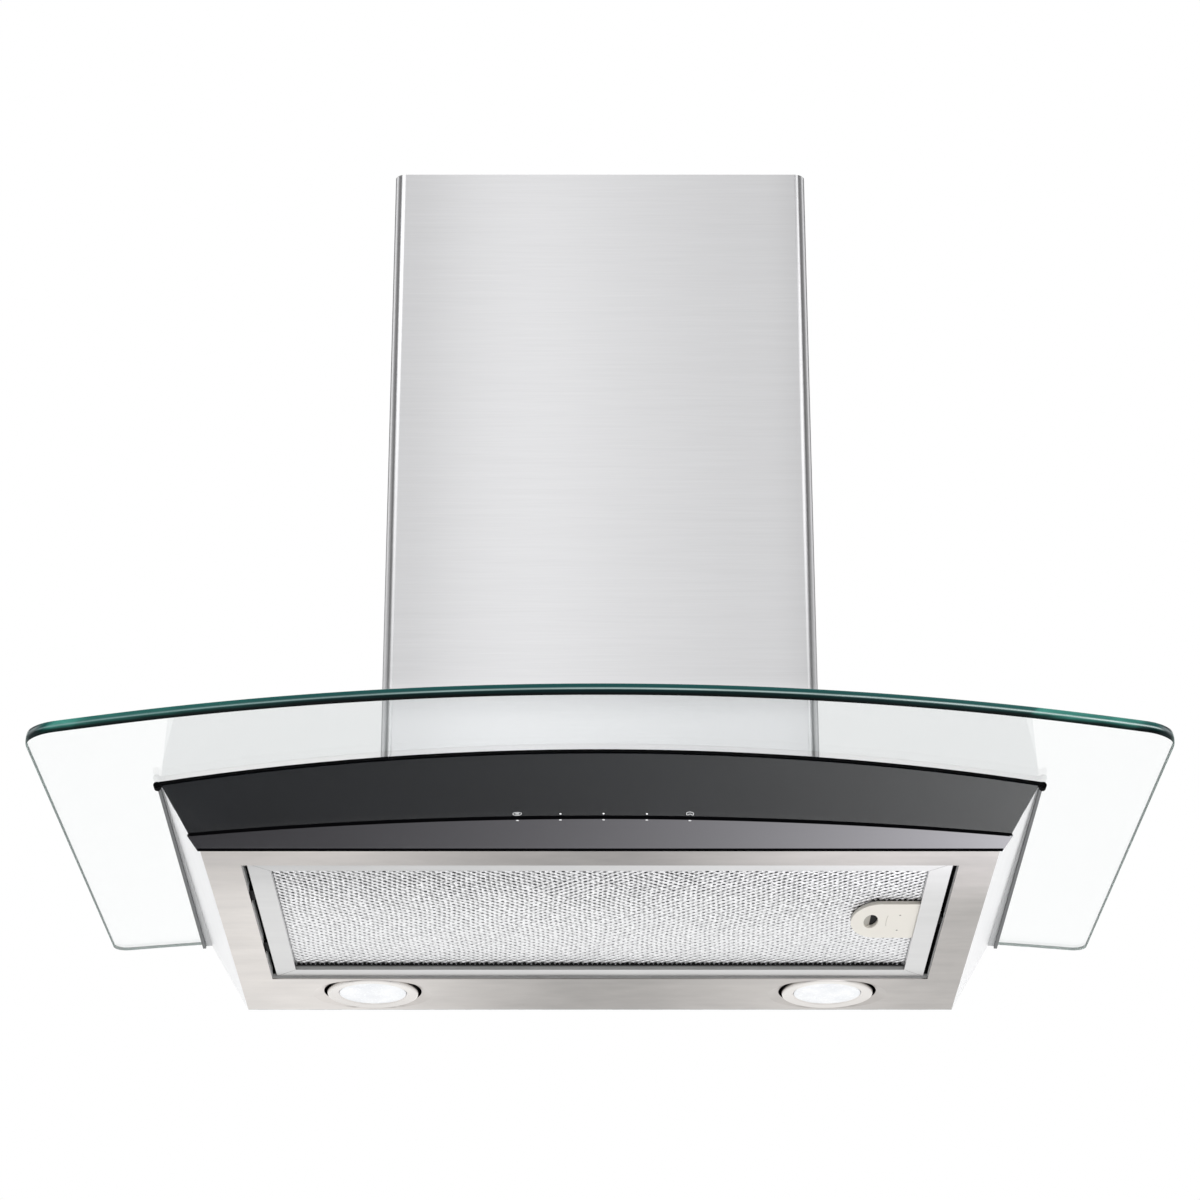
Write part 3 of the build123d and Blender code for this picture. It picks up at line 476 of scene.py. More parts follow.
BY_NODE = {
    "chimney_lower": CHIM, "chimney_upper": CHIM, "upper_bracket": GALV, "upper_bracket_screws": ZINC, "chimney_hold_brackets": GALV,
    "underside_pan": PAN, "back_plate": GALV, "top_deck": PAN, "front_wall": GALV, "fascia_glass": BLACK_GLASS, "fascia_top_trim": BLACK_SEAL,
    "fascia_tapes": BLACK_SEAL, "underside_strip": STRIP_GLASS, "indicator_lenses": PRINT, "touch_board": PCB, "control_box": GREY_P,
    "filter_seat": SHADE_BLACK, "filter_frame": FRAME, "filter_mesh_outer": MESH_ALU, "filter_mesh_core": MESH_DARK, "filter_mesh_inner": MESH_ALU,
    "filter_hinge_tabs": SHADE_BLACK, "filter_latch": CREAM, "latch_stop": ZINC, "latch_spring": SPRING, "filter_catch": SHADE_BLACK,
    "lamp_bezels": LAMP_METAL, "lamp_lenses": LENS, "lamp_housings": GALV, "led_modules": PCB, "lamp_spring_clips": SPRING, "led_driver": WHITE_P,
    "blower_box": GALV, "m4_screws": ZINC, "fan_screws": ZINC, "glass_clamps": GALV, "glass_clamp_pads": BLACK_SEAL, "scroll_left": WHITE_P,
    "scroll_right": WHITE_P, "impeller": GREY_P, "motor_shaft": SHAFT, "impeller_nut": ZINC, "motor_body": DIECAST, "motor_bracket": GALV,
    "motor_bushes": BLACK_SEAL, "capacitor": CAN, "outlet_collar": BLACK_P, "flap_left": BLACK_P, "flap_right": BLACK_P, "flap_pins": ZINC,
    "terminal_box": GREY_P, "terminal_lid": GREY_P, "terminal_block": WHITE_P, "cable_gland": BLACK_P, "gland_nut": BLACK_P, "mains_cable": CABLE,
    "low_voltage_cables": CABLE, "side_glass_seals": SEAL, "glass_canopy": GLASS,
}
for name, ob in N.items():
    mat = BY_NODE[name]
    ob.data.materials.clear()
    ob.data.materials.append(mat)


def face_material(node, mat, test):
    """A second finish on some faces of a carried-over piece; test gets a face's normal and centre."""
    me = N[node].data
    me.materials.append(mat)
    k = len(me.materials) - 1
    for p in me.polygons:
        if test(p.normal, p.center):
            p.material_index = k


# the ground lower edge of the fascia; painted shade on the tongue of the latch deep in its slot, on the slope of its
# finger hole and on the walls of the filter's seat
face_material("fascia_glass", BLACK_EDGE, lambda n, c: n.z < -0.95)
face_material("filter_latch", SHADE_BLACK, lambda n, c: c.x > 0.2412)
face_material("filter_latch", HOLLOW_SHADE, lambda n, c: 0.1875 < c.x < 0.1945 and 0.1 < abs(n.x) < 0.6 and n.z < -0.3)
face_material("filter_seat", SEAT_LEFT, lambda n, c: n.x > 0.9 and c.x < -0.24)
face_material("filter_seat", SEAT_RIGHT, lambda n, c: n.x < -0.9 and c.x > 0.24)
face_material("filter_seat", SEAT_BACK, lambda n, c: n.y < -0.9 and c.y > -0.08)
# side walls of the body in a brighter copy of the steel, a painted reflection; the pale inner part of the glass strips;
# the upright wall of the back rail with painted shade
face_material("underside_pan", LIT_SIDE, lambda n, c: abs(n.x) > 0.7 and abs(c.x) > 0.268 and n.z < -0.2)
face_material("side_glass_seals", SEAL_PALE, lambda n, c: n.z < -0.8 and c.z - arch_z(c.x) > -0.0022)
# painted shade on the upright wall of the back rail: black next to the mesh, grey below
RAIL_WALL = seat_wall("rail_wall", 0.42, 0.52, 0.0040, 0.0056)
face_material("filter_frame", RAIL_WALL, lambda n, c: n.y < -0.9 and c.y > -0.096 and c.y < -0.090)


# ------------------------------------------------------------------ mesh helpers
def make(name, verts, faces, mats, body, smooth=True, face_mats=None, replaces=()):
    me = bpy.data.meshes.new(name)
    me.from_pydata([tuple(v) for v in verts], [], faces)
    for mt in mats:
        me.materials.append(mt)
    me.polygons.foreach_set("use_smooth", [smooth] * len(me.polygons))
    if face_mats is not None:
        me.polygons.foreach_set("material_index", face_mats)
    me.validate()
    me.update()
    ob = bpy.data.objects.new(name, me)
    SC.collection.objects.link(ob)
    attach(ob, body)
    if replaces:
        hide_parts(*replaces)
    return ob


def soften(node, width, segments=2, angle=35):
    """Breaks the sharp edges of a carried-over piece a little, as a real one's are."""
    ob = N[node]
    w = ob.modifiers.new("weld", "WELD")
    w.merge_threshold = 2e-6
    b = ob.modifiers.new("edge", "BEVEL")
    b.width = width
    b.segments = segments
    b.limit_method = "ANGLE"
    b.angle_limit = math.radians(angle)
    b.harden_normals = False
    b.use_clamp_overlap = True
    return ob


def inside(px, py, poly):
    poly = np.asarray(poly)
    x0, y0 = poly[:, 0], poly[:, 1]
    x1, y1 = np.roll(x0, -1), np.roll(y0, -1)
    res = np.zeros(len(px), bool)
    for a, b, c, d in zip(x0, y0, x1, y1):
        if b == d:
            continue
        cond = ((b > py) != (d > py)) & (px < (c - a) * (py - b) / (d - b) + a)
        res ^= cond
    return res


def fill_plan(ring, step):
    """Triangles over a plan outline, with inside points on a grid, so that an arched face stays true."""
    ring = np.asarray(ring)
    xs = np.arange(ring[:, 0].min() + step / 2, ring[:, 0].max(), step)
    ys = np.arange(ring[:, 1].min() + step / 2, ring[:, 1].max(), step)
    gx, gy = np.meshgrid(xs, ys)
    gx, gy = gx.ravel(), gy.ravel()
    keep = inside(gx, gy, ring)
    gx, gy = gx[keep], gy[keep]
    d = np.min((gx[:, None] - ring[None, :, 0]) ** 2 + (gy[:, None] - ring[None, :, 1]) ** 2, axis=1) if len(gx) < 6000 else None
    if d is not None:
        k2 = d > (0.45 * step) ** 2
        gx, gy = gx[k2], gy[k2]
    pts = [Vector((float(x), float(y))) for x, y in ring] + [Vector((float(x), float(y))) for x, y in zip(gx, gy)]
    n = len(ring)
    v, _, f, ov, _, _ = delaunay_2d_cdt(pts, [], [list(range(n))], 1, 1e-7)
    back = [o[0] for o in ov]
    return [(p.x, p.y) for p in v], f, back


# ------------------------------------------------------------------ canopy: clear bent glass with a polished round edge
def canopy_outline():
    O = np.array([0.0, -GLASS_D + GLASS_BOW])
    hw, hb = GLASS_W / 2, GLASS_WB / 2
    yc = O[1] - math.sqrt(GLASS_BOW ** 2 - hw ** 2)
    r = 0.025
    # right side line from (hw, yc) to (hb, 0); inward normal
    p0, p1 = np.array([hw, yc]), np.array([hb, 0.0])
    t = (p1 - p0) / np.linalg.norm(p1 - p0)
    nin = np.array([-t[1], t[0]])
    if nin[0] > 0:
        nin = -nin
    # centre of the front fillet: distance r inside the line, GLASS_BOW - r from O
    base = p0 + nin * r - O
    b = base @ t
    c = base @ base - (GLASS_BOW - r) ** 2
    s = -b + math.sqrt(b * b - c) * (1 if (-b + math.sqrt(b * b - c)) < 0.3 else -1)
    s2 = -b - math.sqrt(b * b - c)
    s = s if abs(s) < abs(s2) else s2
    cen = p0 + nin * r + t * s
    tb = O + (cen - O) / np.linalg.norm(cen - O) * GLASS_BOW      # tangent point on the bow
    tl = cen - nin * r                                            # tangent point on the side
    right = []
    a0 = math.atan2(*(tb - cen)[::-1])
    a1 = math.atan2(*(tl - cen)[::-1])
    bow_a = math.atan2(tb[1] - O[1], tb[0] - O[0])
    for i in range(91):                                            # bow from the centre to the right
        a = -math.pi / 2 + (bow_a + math.pi / 2) * i / 90
        right.append(O + GLASS_BOW * np.array([math.cos(a), math.sin(a)]))
    for i in range(1, 17):
        a = a0 + (a1 - a0) * i / 16
        right.append(cen + r * np.array([math.cos(a), math.sin(a)]))
    # back corner
    rb = 0.012
    tb2 = np.array([0.0, 1.0])
    # centre: rb inside the side line and y = -rb
    k = (-rb - (p0 + nin * rb)[1]) / t[1]
    cb = p0 + nin * rb + t * k
    q0 = cb - nin * rb
    q1 = cb + np.array([0.0, rb])
    steps = 20
    for i in range(1, steps):
        right.append(tl + (q0 - tl) * i / steps)
    a0 = math.atan2(*(q0 - cb)[::-1])
    a1 = math.atan2(*(q1 - cb)[::-1])
    for i in range(0, 11):
        a = a0 + (a1 - a0) * i / 10
        right.append(cb + rb * np.array([math.cos(a), math.sin(a)]))
    nx, ny, rn = 0.141, -0.268, 0.012
    for i in range(1, 16):
        right.append(np.array([q1[0] + (nx - q1[0]) * i / 15, 0.0]))
    for i in range(1, 14):
        right.append(np.array([nx, (ny + rn) * i / 13]))
    cn = np.array([nx - rn, ny + rn])
    for i in range(1, 9):
        a = -math.pi / 2 * i / 8
        right.append(cn + rn * np.array([math.cos(a), math.sin(a)]))
    for i in range(1, 11):
        right.append(np.array([(nx - rn) * (1 - i / 10), ny]))
    left = [np.array([-p[0], p[1]]) for p in right[1:-1]][::-1]
    return np.array(right + left)


def offset_ring(pts, d):
    nxt, prv = np.roll(pts, -1, 0), np.roll(pts, 1, 0)
    e0 = pts - prv
    e1 = nxt - pts
    e0 /= np.linalg.norm(e0, axis=1)[:, None]
    e1 /= np.linalg.norm(e1, axis=1)[:, None]
    n0 = np.stack([-e0[:, 1], e0[:, 0]], 1)   # inward for a counter-clockwise outline
    n1 = np.stack([-e1[:, 1], e1[:, 0]], 1)
    m = n0 + n1
    m /= np.linalg.norm(m, axis=1)[:, None]
    k = 1.0 / np.maximum((m * n0).sum(1), 0.4)
    return pts + m * (k * d)[:, None]


OUT = canopy_outline()
EDGE_A = 0.0023
PROF = []
for i in range(17):
    a = math.pi * i / 16
    PROF.append((EDGE_A * (1 - math.sin(a)), 0.004 * (1 - math.cos(a)), a))   # inset, height, angle
verts, faces, fm = [], [], []
nring = len(OUT)


def glass_point(x, y, h):
    return (x, y, arch_z(x, 0.0) + h)


ease = np.clip((-0.446 - OUT[:, 1]) / 0.016, 0.0, 1.0)[:, None]      # full round along the front, a small one along the sides
rings = [OUT + (offset_ring(OUT, max(d, 1e-6)) - OUT) * (0.34 + 0.66 * ease) for d, h, a in PROF]
e = np.roll(OUT, -1, 0) - np.roll(OUT, 1, 0)
e /= np.linalg.norm(e, axis=1)[:, None]
outward = np.stack([e[:, 1], -e[:, 0]], 1)
normals = []


def arch_normal(x, s_):
    v = Vector((x / GLASS_R, 0, 1)).normalized()
    return v * s_


for (d, h, a), r in zip(PROF, rings):
    verts += [glass_point(x, y, h) for x, y in r]
    for (x, y), (ox, oy) in zip(r, outward):
        v = Vector((ox * 0.004 * math.sin(a), oy * 0.004 * math.sin(a), -EDGE_A * math.cos(a)))
        up = arch_normal(x, 1.0)
        v = Vector((ox, oy, 0)) * (0.004 * math.sin(a)) + up * (-EDGE_A * math.cos(a))
        normals.append(v.normalized())
for k in range(len(PROF) - 1):
    for i in range(nring):
        j = (i + 1) % nring
        faces.append((k * nring + i, k * nring + j, (k + 1) * nring + j, (k + 1) * nring + i))
pts2, tris, back = fill_plan(rings[0], 0.016)
for k, h in ((0, 0.0), (len(PROF) - 1, GLASS_T)):
    idx = {}
    for q, (x, y) in enumerate(pts2):
        if back[q] < nring:
            idx[q] = k * nring + back[q]
        else:
            idx[q] = len(verts)
            verts.append(glass_point(x, y, h))
            normals.append(arch_normal(x, -1.0 if k == 0 else 1.0))
    for f in tris:
        f = [idx[q] for q in f]
        faces.append(tuple(f[::-1]) if k == 0 else tuple(f))
n_edge = (len(PROF) - 1) * nring
canopy = make("canopy_pane", verts, faces, [GLASS, CUT_EDGE], "hood", replaces=("glass_canopy",),
              face_mats=[1] * n_edge + [0] * (len(faces) - n_edge))
canopy.data.normals_split_custom_set_from_vertices([tuple(v) for v in normals])


# ------------------------------------------------------------------ filter: expanded face foil with diamond openings, in two halves
CELL_X, CELL_Y = 0.0070, 0.0066
FOIL = (-0.2266, 0.2266, -0.3141, -0.0939)
LATCH_X, LATCH_Y = (0.180, 0.2405), -0.203


def foil(name, side, seed):
    r = random.Random(seed)
    verts, faces, mats, index = [], [], [], {}
    x0, x1, y0, y1 = FOIL

    def vert(x, y, z):
        x, y = min(max(x, x0), x1), min(max(y, y0), y1)
        key = (round(x * 1e6), round(y * 1e6))
        if key not in index:
            index[key] = len(verts)
            verts.append((x, y, z))
        return index[key]
    jit = {}

    def wob(i, j):
        if (i, j) not in jit:
            q = random.Random(i * 7919 + j * 104729 + 17)
            jit[(i, j)] = (q.uniform(-1, 1) * 0.00046, q.uniform(-1, 1) * 0.00055)
        return jit[(i, j)]
    ni, nj = int(0.23 / (CELL_X / 2)) + 1, int(0.12 / (CELL_Y / 2)) + 2
    yc = (y0 + y1) / 2

    def flow(x, y):
        """The rows of a stretched foil wander a little; nothing moves at its border."""
        f = min(1.0, max(0.0, min(x - x0, x1 - x, y - y0, y1 - y) / 0.014))
        f = f * f * (3 - 2 * f)
        tau = 2 * math.pi
        fx = 0.00075 * math.sin(tau * (y / 0.095 + x / 0.21) + 0.6) + 0.00018 * math.sin(tau * (x / 0.047 - y / 0.09))
        fy = 0.00070 * math.sin(tau * (x / 0.118 + y / 0.15)) + 0.00016 * math.sin(tau * (x / 0.033 - y / 0.07) + 1.1)
        return fx * f, fy * f
    for i in range(-ni, ni + 1):
        for j in range(-nj, nj + 1):
            if (i + j) % 2:
                continue
            if (i < 0) != (side < 0):
                continue
            cx, cy = i * CELL_X / 2, yc + j * CELL_Y / 2
            if cx < x0 - 0.001 or cx > x1 + 0.001 or cy < y0 - 0.001 or cy > y1 + 0.001:
                continue
            corners = []
            for di, dj in ((1, 0), (0, 1), (-1, 0), (0, -1)):
                wx, wy = wob(i + di, j + dj)
                qx, qy = cx + di * CELL_X / 2, cy + dj * CELL_Y / 2
                gx_, gy_ = flow(qx, qy)
                corners.append((qx + wx + gx_, qy + wy + gy_))
            ring = []
            for k in range(4):
                a_, b_ = corners[k], corners[(k + 1) % 4]
                ring.append(vert(a_[0], a_[1], 0.00600))
                ring.append(vert((a_[0] + b_[0]) / 2, (a_[1] + b_[1]) / 2, 0.00612))
            s_ = 1 + r.uniform(-0.16, 0.13)
            jx, jy = r.uniform(-1, 1) * 0.00022, r.uniform(-1, 1) * 0.00022
            back = min(1.0, max(0.0, (cy + 0.30) / 0.16))
            rx, ry = (0.00130 - 0.00032 * back) * s_, (0.00176 - 0.00044 * back) * s_
            lean = 0.5 + cx / 0.10 + 0.55 * math.sin(cx * 61.0 + cy * 37.0) + 0.35 * math.sin(cy * 90.0 - cx * 23.0)
            side_b = r.random() < lean
            gx_, gy_ = flow(cx, cy)
            cx, cy = cx + gx_, cy + gy_
            mid = len(verts)
            for k in range(8):
                an = math.radians(45 * k)
                x, y = cx + jx + rx * math.cos(an), cy + jy + ry * math.sin(an)
                verts.append((min(max(x, x0), x1), min(max(y, y0), y1), 0.00634 + 0.00012 * math.sin(an)))
            low = len(verts)
            for k in range(8):
                an = math.radians(45 * k)
                x, y = cx + jx + 0.9 * rx * math.cos(an), cy + jy + 0.9 * ry * math.sin(an)
                verts.append((min(max(x, x0), x1), min(max(y, y0), y1), 0.00676))
            for k in range(8):
                q = (k + 1) % 8
                faces.append((ring[k], mid + k, mid + q, ring[q]))
                # painted shade: facets of the turned strands take the shaded copy of the foil, and the walls of each
                # opening the near-black one
                turned = k in ((2, 3, 6, 7) if side_b else (0, 1, 4, 5))
                mats.append(2 if turned and r.random() < 0.80 - 0.25 * back else 0)
                faces.append((mid + k, low + k, low + q, mid + q))
                mats.append(1)
    return make(name, verts, faces, [MESH_ALU, MESH_DARK, MESH_SHADE], "filter", face_mats=mats)


foil_l = foil("filter_foil_left", -1, 3)
foil_r = foil("filter_foil_right", 1, 5)
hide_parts("filter_mesh_outer")


def teeth(name, places, z):
    """Painted shade along an edge of the foil, where cells are cut open: dark plates with a rounded end."""
    verts, faces = [], []
    for x, y, rx, ry in places:
        base = len(verts)
        n = 8
        out = [(x + rx * math.cos(math.pi * k / n), y - ry * math.sin(math.pi * k / n)) for k in range(n + 1)]
        for zz in (z, z + 0.00006):
            verts += [(px, py, zz) for px, py in out]
        m = n + 1
        faces.append(tuple(base + k for k in range(m)))
        faces.append(tuple(base + m + k for k in range(m))[::-1])
        for k in range(m):
            q = (k + 1) % m
            faces.append((base + q, base + k, base + m + k, base + m + q))
    return make(name, verts, faces, [SHADE_BLACK], "filter", smooth=False)


r_ = random.Random(9)
row = []
x = -0.2245
while x < 0.2250:
    row.append((x + r_.uniform(-1, 1) * 0.00025, FOIL[3], 0.00150 * (1 + r_.uniform(-0.15, 0.12)), 0.0045 * (1 + r_.uniform(-0.15, 0.15))))
    x += CELL_X / 2
x = 0.1935
while x < 0.2262:
    row.append((x + r_.uniform(-1, 1) * 0.0002, LATCH_Y - 0.0366, 0.00140 * (1 + r_.uniform(-0.1, 0.1)), 0.0036 * (1 + r_.uniform(-0.12, 0.12))))
    x += 0.00375
teeth("filter_open_cell_shade", row, 0.00591)

# latch plate: painted shade as a dark plate behind the finger hole, a raised arc in a darker cream as painted shade,
# and two pin marks painted dark as the shade of their recesses
POCKET_SHADE = SHADE_BLACK
LINE = moulded("cream_shade", (0.56, 0.53, 0.47), 0.5, 0.03, 0.02)
PINM = moulded("pin_mark_shade", (0.10, 0.09, 0.08), 0.5, 0.03, 0.02)


def plate(name, ring, z0, z1, mat, body):
    n = len(ring)
    v = [(x, y, z0) for x, y in ring] + [(x, y, z1) for x, y in ring]
    f = [tuple(range(n))[::-1], tuple(range(n, 2 * n))]
    for k in range(n):
        q = (k + 1) % n
        f.append((k, q, n + q, n + k))
    return make(name, v, f, [mat], body, smooth=False)


plate("latch_pocket_shade", [(0.1880, -0.2185), (0.2012, -0.2185), (0.2012, -0.1860), (0.1880, -0.1860)], 0.00572, 0.00594, POCKET_SHADE, "latch")
arc = [(0.2058 - 0.0005 * (1 - ((y + 0.204) / 0.0116) ** 2), y) for y in np.linspace(-0.2156, -0.1924, 12)]
plate("latch_arc", [(x - 0.00028, y) for x, y in arc] + [(x + 0.00028, y) for x, y in arc[::-1]], 0.00304, 0.00312, LINE, "latch")
for k, y in enumerate((-0.2164, -0.1830)):
    plate(f"latch_pin_{k + 1}", [(0.2144 + 0.00075 * math.cos(a), y + 0.00085 * math.sin(a)) for a in np.linspace(0, 2 * math.pi, 15)[:-1]],
          0.00303, 0.00312, PINM, "latch")

# a black band along the back of the underside strip: painted shade for the dark line at its edge
plate("strip_back_shade", [(-0.2724, -0.3650), (0.2724, -0.3650), (0.2722, -0.3602), (-0.2722, -0.3602)], -0.00018, 0.00002, BLACK_EDGE, "hood")

# and a black band along the foot of the fascia, in front of the lights: painted shade for the gap between the fascia
# and the strip
xs = np.linspace(-0.2740, 0.2740, 61)
foot = [FASCIA_Y + x * x / (2 * FASCIA_BOW) for x in xs]
bv = [(x, y + d, z) for d, z in ((0.0051, 0.00002), (0.0051, -0.00012), (0.0068, -0.00012), (0.0068, 0.00002)) for x, y in zip(xs, foot)]
bf = [(k * 61 + i, (k + 1) % 4 * 61 + i, (k + 1) % 4 * 61 + i + 1, k * 61 + i + 1) for k in range(4) for i in range(60)]
bf += [(0, 183, 122, 61), (60, 121, 182, 243)]
make("fascia_foot_gap_shade", bv, bf, [BLACK_EDGE], "hood", smooth=False)

# the mitred corners of the filter frame, as hair-wide seams
SEAM = moulded("mitre_seam", (0.16, 0.16, 0.16), 0.6, 0.03, 0.05)
fx0, fx1, fy0, fy1 = -0.2419, 0.2419, -0.3294, -0.0786
gx0, gx1, gy0, gy1 = -0.2272, 0.2272, -0.3146, -0.0934
for k, (ax_, ay_, bx_, by_) in enumerate(((fx0, fy0, gx0, gy0), (fx1, fy0, gx1, gy0), (fx0, fy1, gx0, gy1), (fx1, fy1, gx1, gy1))):
    t = Vector((bx_ - ax_, by_ - ay_)).normalized()
    nn = Vector((-t.y, t.x)) * 0.00014
    plate(f"frame_mitre_{k + 1}", [(ax_ + nn.x, ay_ + nn.y), (ax_ - nn.x, ay_ - nn.y), (bx_ - nn.x, by_ - nn.y), (bx_ + nn.x, by_ + nn.y)], 0.00198, 0.00204, SEAM, "filter")

# broken edges
soften("filter_latch", 0.0005, 2, 40)
soften("filter_frame", 0.00028, 2, 40)
soften("underside_pan", 0.0003, 2, 60)
soften("chimney_lower", 0.0002, 1, 60)

# ------------------------------------------------------------------ icons printed on the fascia
def fascia_point(x, z, out=0.0):
    n = Vector((-x / FASCIA_BOW, -1.0, FASCIA_LEAN)).normalized()
    n = Vector((x / FASCIA_BOW, -1.0, -FASCIA_LEAN)) if False else n
    y = FASCIA_Y + FASCIA_LEAN * z + x * x / (2 * FASCIA_BOW)
    nn = Vector((x / FASCIA_BOW, -1.0, FASCIA_LEAN)).normalized()
    return Vector((x, y, z)) + nn * out


def band_on_fascia(name, strokes):
    """strokes: closed or open lines of (x, z) with a width; each becomes a thin raised print."""
    verts, faces = [], []
    for pts, w, closed in strokes:
        pts = np.array(pts, float)
        n = len(pts)
        nxt = np.roll(pts, -1, 0) if closed else np.vstack([pts[1:], pts[-1:] * 2 - pts[-2:-1]])
        prv = np.roll(pts, 1, 0) if closed else np.vstack([pts[:1] * 2 - pts[1:2], pts[:-1]])
        t = nxt - prv
        t /= np.linalg.norm(t, axis=1)[:, None]
        nn = np.stack([-t[:, 1], t[:, 0]], 1) * w / 2
        base = len(verts)
        for (x, z), (a, b) in zip(pts, nn):
            for sx, so in ((1, 0.00001), (1, 0.00007), (-1, 0.00007), (-1, 0.00001)):
                verts.append(fascia_point(x + sx * a, z + sx * b, so))
        for i in range(n if closed else n - 1):
            j = (i + 1) % n
            for k in range(4):
                q = (k + 1) % 4
                faces.append((base + i * 4 + k, base + j * 4 + k, base + j * 4 + q, base + i * 4 + q))
        if not closed:
            faces.append((base, base + 1, base + 2, base + 3))
            e = base + (n - 1) * 4
            faces.append((e + 3, e + 2, e + 1, e))
    return make(name, verts, faces, [PRINT], "hood", smooth=False)


def ell(cx, cz, a, b, n=28, t0=0.0, t1=360.0):
    return [(cx + a * math.cos(math.radians(t0 + (t1 - t0) * i / n)), cz + b * math.sin(math.radians(t0 + (t1 - t0) * i / n))) for i in range(n + (t1 - t0 < 359.9))]


ICON_X = [-0.0546, -0.0261, 0.0024, 0.0309, 0.0594]
zi = 0.0020
band_on_fascia("icon_fan", [
    (ell(ICON_X[0], zi, 0.0029, 0.0014), 0.00032, True),
    (ell(ICON_X[0], zi, 0.0012, 0.00028, 14), 0.0003, True),
])
band_on_fascia("icon_lamp", [
    (ell(ICON_X[4], zi + 0.0001, 0.0024, 0.0018, 26, -35, 215), 0.00034, False),
    (ell(ICON_X[4], zi - 0.0007, 0.0010, 0.0007, 14, 0, 180), 0.00034, False),
    ([(ICON_X[4] - 0.0019, zi - 0.0010), (ICON_X[4] - 0.0011, zi - 0.0010)], 0.00036, False),
    ([(ICON_X[4] + 0.0011, zi - 0.0010), (ICON_X[4] + 0.0019, zi - 0.0010)], 0.00036, False),
])
for i in (1, 2, 3):
    band_on_fascia(f"icon_dot_{i}", [(ell(ICON_X[i], zi - 0.0005, 0.00038, 0.00036, 14), 0.00062, True)])

# ------------------------------------------------------------------ studio
world = bpy.data.worlds.new("studio")
SC.world = world
world.use_nodes = True
wt = world.node_tree
wt.nodes.clear()
wo = wt.nodes.new("ShaderNodeOutputWorld")


def wn(kind, **kw):
    n = wt.nodes.new(kind)
    for k, v in kw.items():
        setattr(n, k, v)
    return n


def wmath(op, a, b=None):
    n = wn("ShaderNodeMath", operation=op)
    for i, v in enumerate((a, b)):
        if v is None:
            continue
        if isinstance(v, (int, float)):
            n.inputs[i].default_value = v
        else:
            wt.links.new(v, n.inputs[i])
    return n.outputs[0]


def wrange(v, a0, a1, b0, b1):
    n = wn("ShaderNodeMapRange", interpolation_type="SMOOTHSTEP")
    for i, q in zip((1, 2, 3, 4), (a0, a1, b0, b1)):
        n.inputs[i].default_value = q
    wt.links.new(v, n.inputs[0])
    return n.outputs[0]


tc = wn("ShaderNodeTexCoord")
sep = wn("ShaderNodeSeparateXYZ")
wt.links.new(tc.outputs["Generated"], sep.inputs[0])
X, Y, Z = sep.outputs
# round the room: a pale front, a lamp bank either side of it, a dark gap, grey side walls, a light back
az = wmath("ARCTAN2", wmath("ABSOLUTE", X), wmath("MULTIPLY", Y, -1.0))
ramp = wn("ShaderNodeValToRGB")
BANDS = [(0, 1.12), (8, 1.12), (14, 1.9), (27, 1.95), (35, 0.20), (60, 0.16), (70, 0.74), (118, 0.76), (135, 1.25), (180, 1.45)]
while len(ramp.color_ramp.elements) < len(BANDS):
    ramp.color_ramp.elements.new(0.5)
for el, (d, v) in zip(ramp.color_ramp.elements, BANDS):
    el.position = d / 180
    el.color = (v / 4, v / 4, v / 4, 1)
wt.links.new(wmath("DIVIDE", az, math.pi), ramp.inputs[0])
ramp2 = wn("ShaderNodeValToRGB")
BANDS2 = [(0, 1.28), (9, 1.28), (13, 2.5), (40, 2.5), (46, 0.30), (88, 0.30), (94, 1.35), (118, 1.45), (124, 0.22), (150, 0.22), (158, 1.15), (180, 1.15)]
while len(ramp2.color_ramp.elements) < len(BANDS2):
    ramp2.color_ramp.elements.new(0.5)
for el, (d, v) in zip(ramp2.color_ramp.elements, BANDS2):
    el.position = d / 180
    el.color = (v / 4, v / 4, v / 4, 1)
wt.links.new(wmath("DIVIDE", az, math.pi), ramp2.inputs[0])
up = wrange(Z, 0.03, 0.13, 0.0, 1.0)
around = wmath("MULTIPLY", wmath("ADD", wmath("MULTIPLY", ramp.outputs[0], wmath("SUBTRACT", 1.0, up)), wmath("MULTIPLY", ramp2.outputs[0], up)), 4.0)
# overhead: darker to the left, brighter to the right
top = wmath("MULTIPLY", wmath("POWER", 2.71828, wmath("MULTIPLY", X, 2.85)), 0.63)
low = 1.12
# the front wall of the room is only bright in a level band, so polished edges show a streak
front = wrange(Y, -0.15, -0.45, 0.0, 1.0)
off = wmath("MAXIMUM", wrange(Z, 0.60, 0.76, 0.0, 1.0), wrange(Z, 0.20, 0.05, 0.0, 0.35))
around = wmath("MULTIPLY", around, wmath("SUBTRACT", 1.0, wmath("MULTIPLY", wmath("MULTIPLY", off, front), 0.78)))
zt = wrange(Z, 0.78, 0.93, 0.0, 1.0)
zl = wrange(Z, -0.10, -0.30, 0.0, 1.0)
zl = wmath("MULTIPLY", zl, wrange(Y, -0.5, -0.1, 0.35, 1.0))
mid = wmath("ADD", wmath("MULTIPLY", around, wmath("SUBTRACT", 1.0, zt)), wmath("MULTIPLY", top, zt))
gloss = wmath("ADD", wmath("MULTIPLY", mid, wmath("SUBTRACT", 1.0, zl)), wmath("MULTIPLY", zl, low))
bg_env = wn("ShaderNodeBackground")
comb = wn("ShaderNodeCombineXYZ")
for i in range(3):
    wt.links.new(gloss, comb.inputs[i])
wt.links.new(comb.outputs[0], bg_env.inputs["Color"])
bg_env.inputs["Strength"].default_value = 1.0
bg_white = wn("ShaderNodeBackground")
bg_white.inputs["Color"].default_value = (1, 1, 1, 1)
bg_white.inputs["Strength"].default_value = 1.0
lp = wn("ShaderNodeLightPath")
mixw = wn("ShaderNodeMixShader")
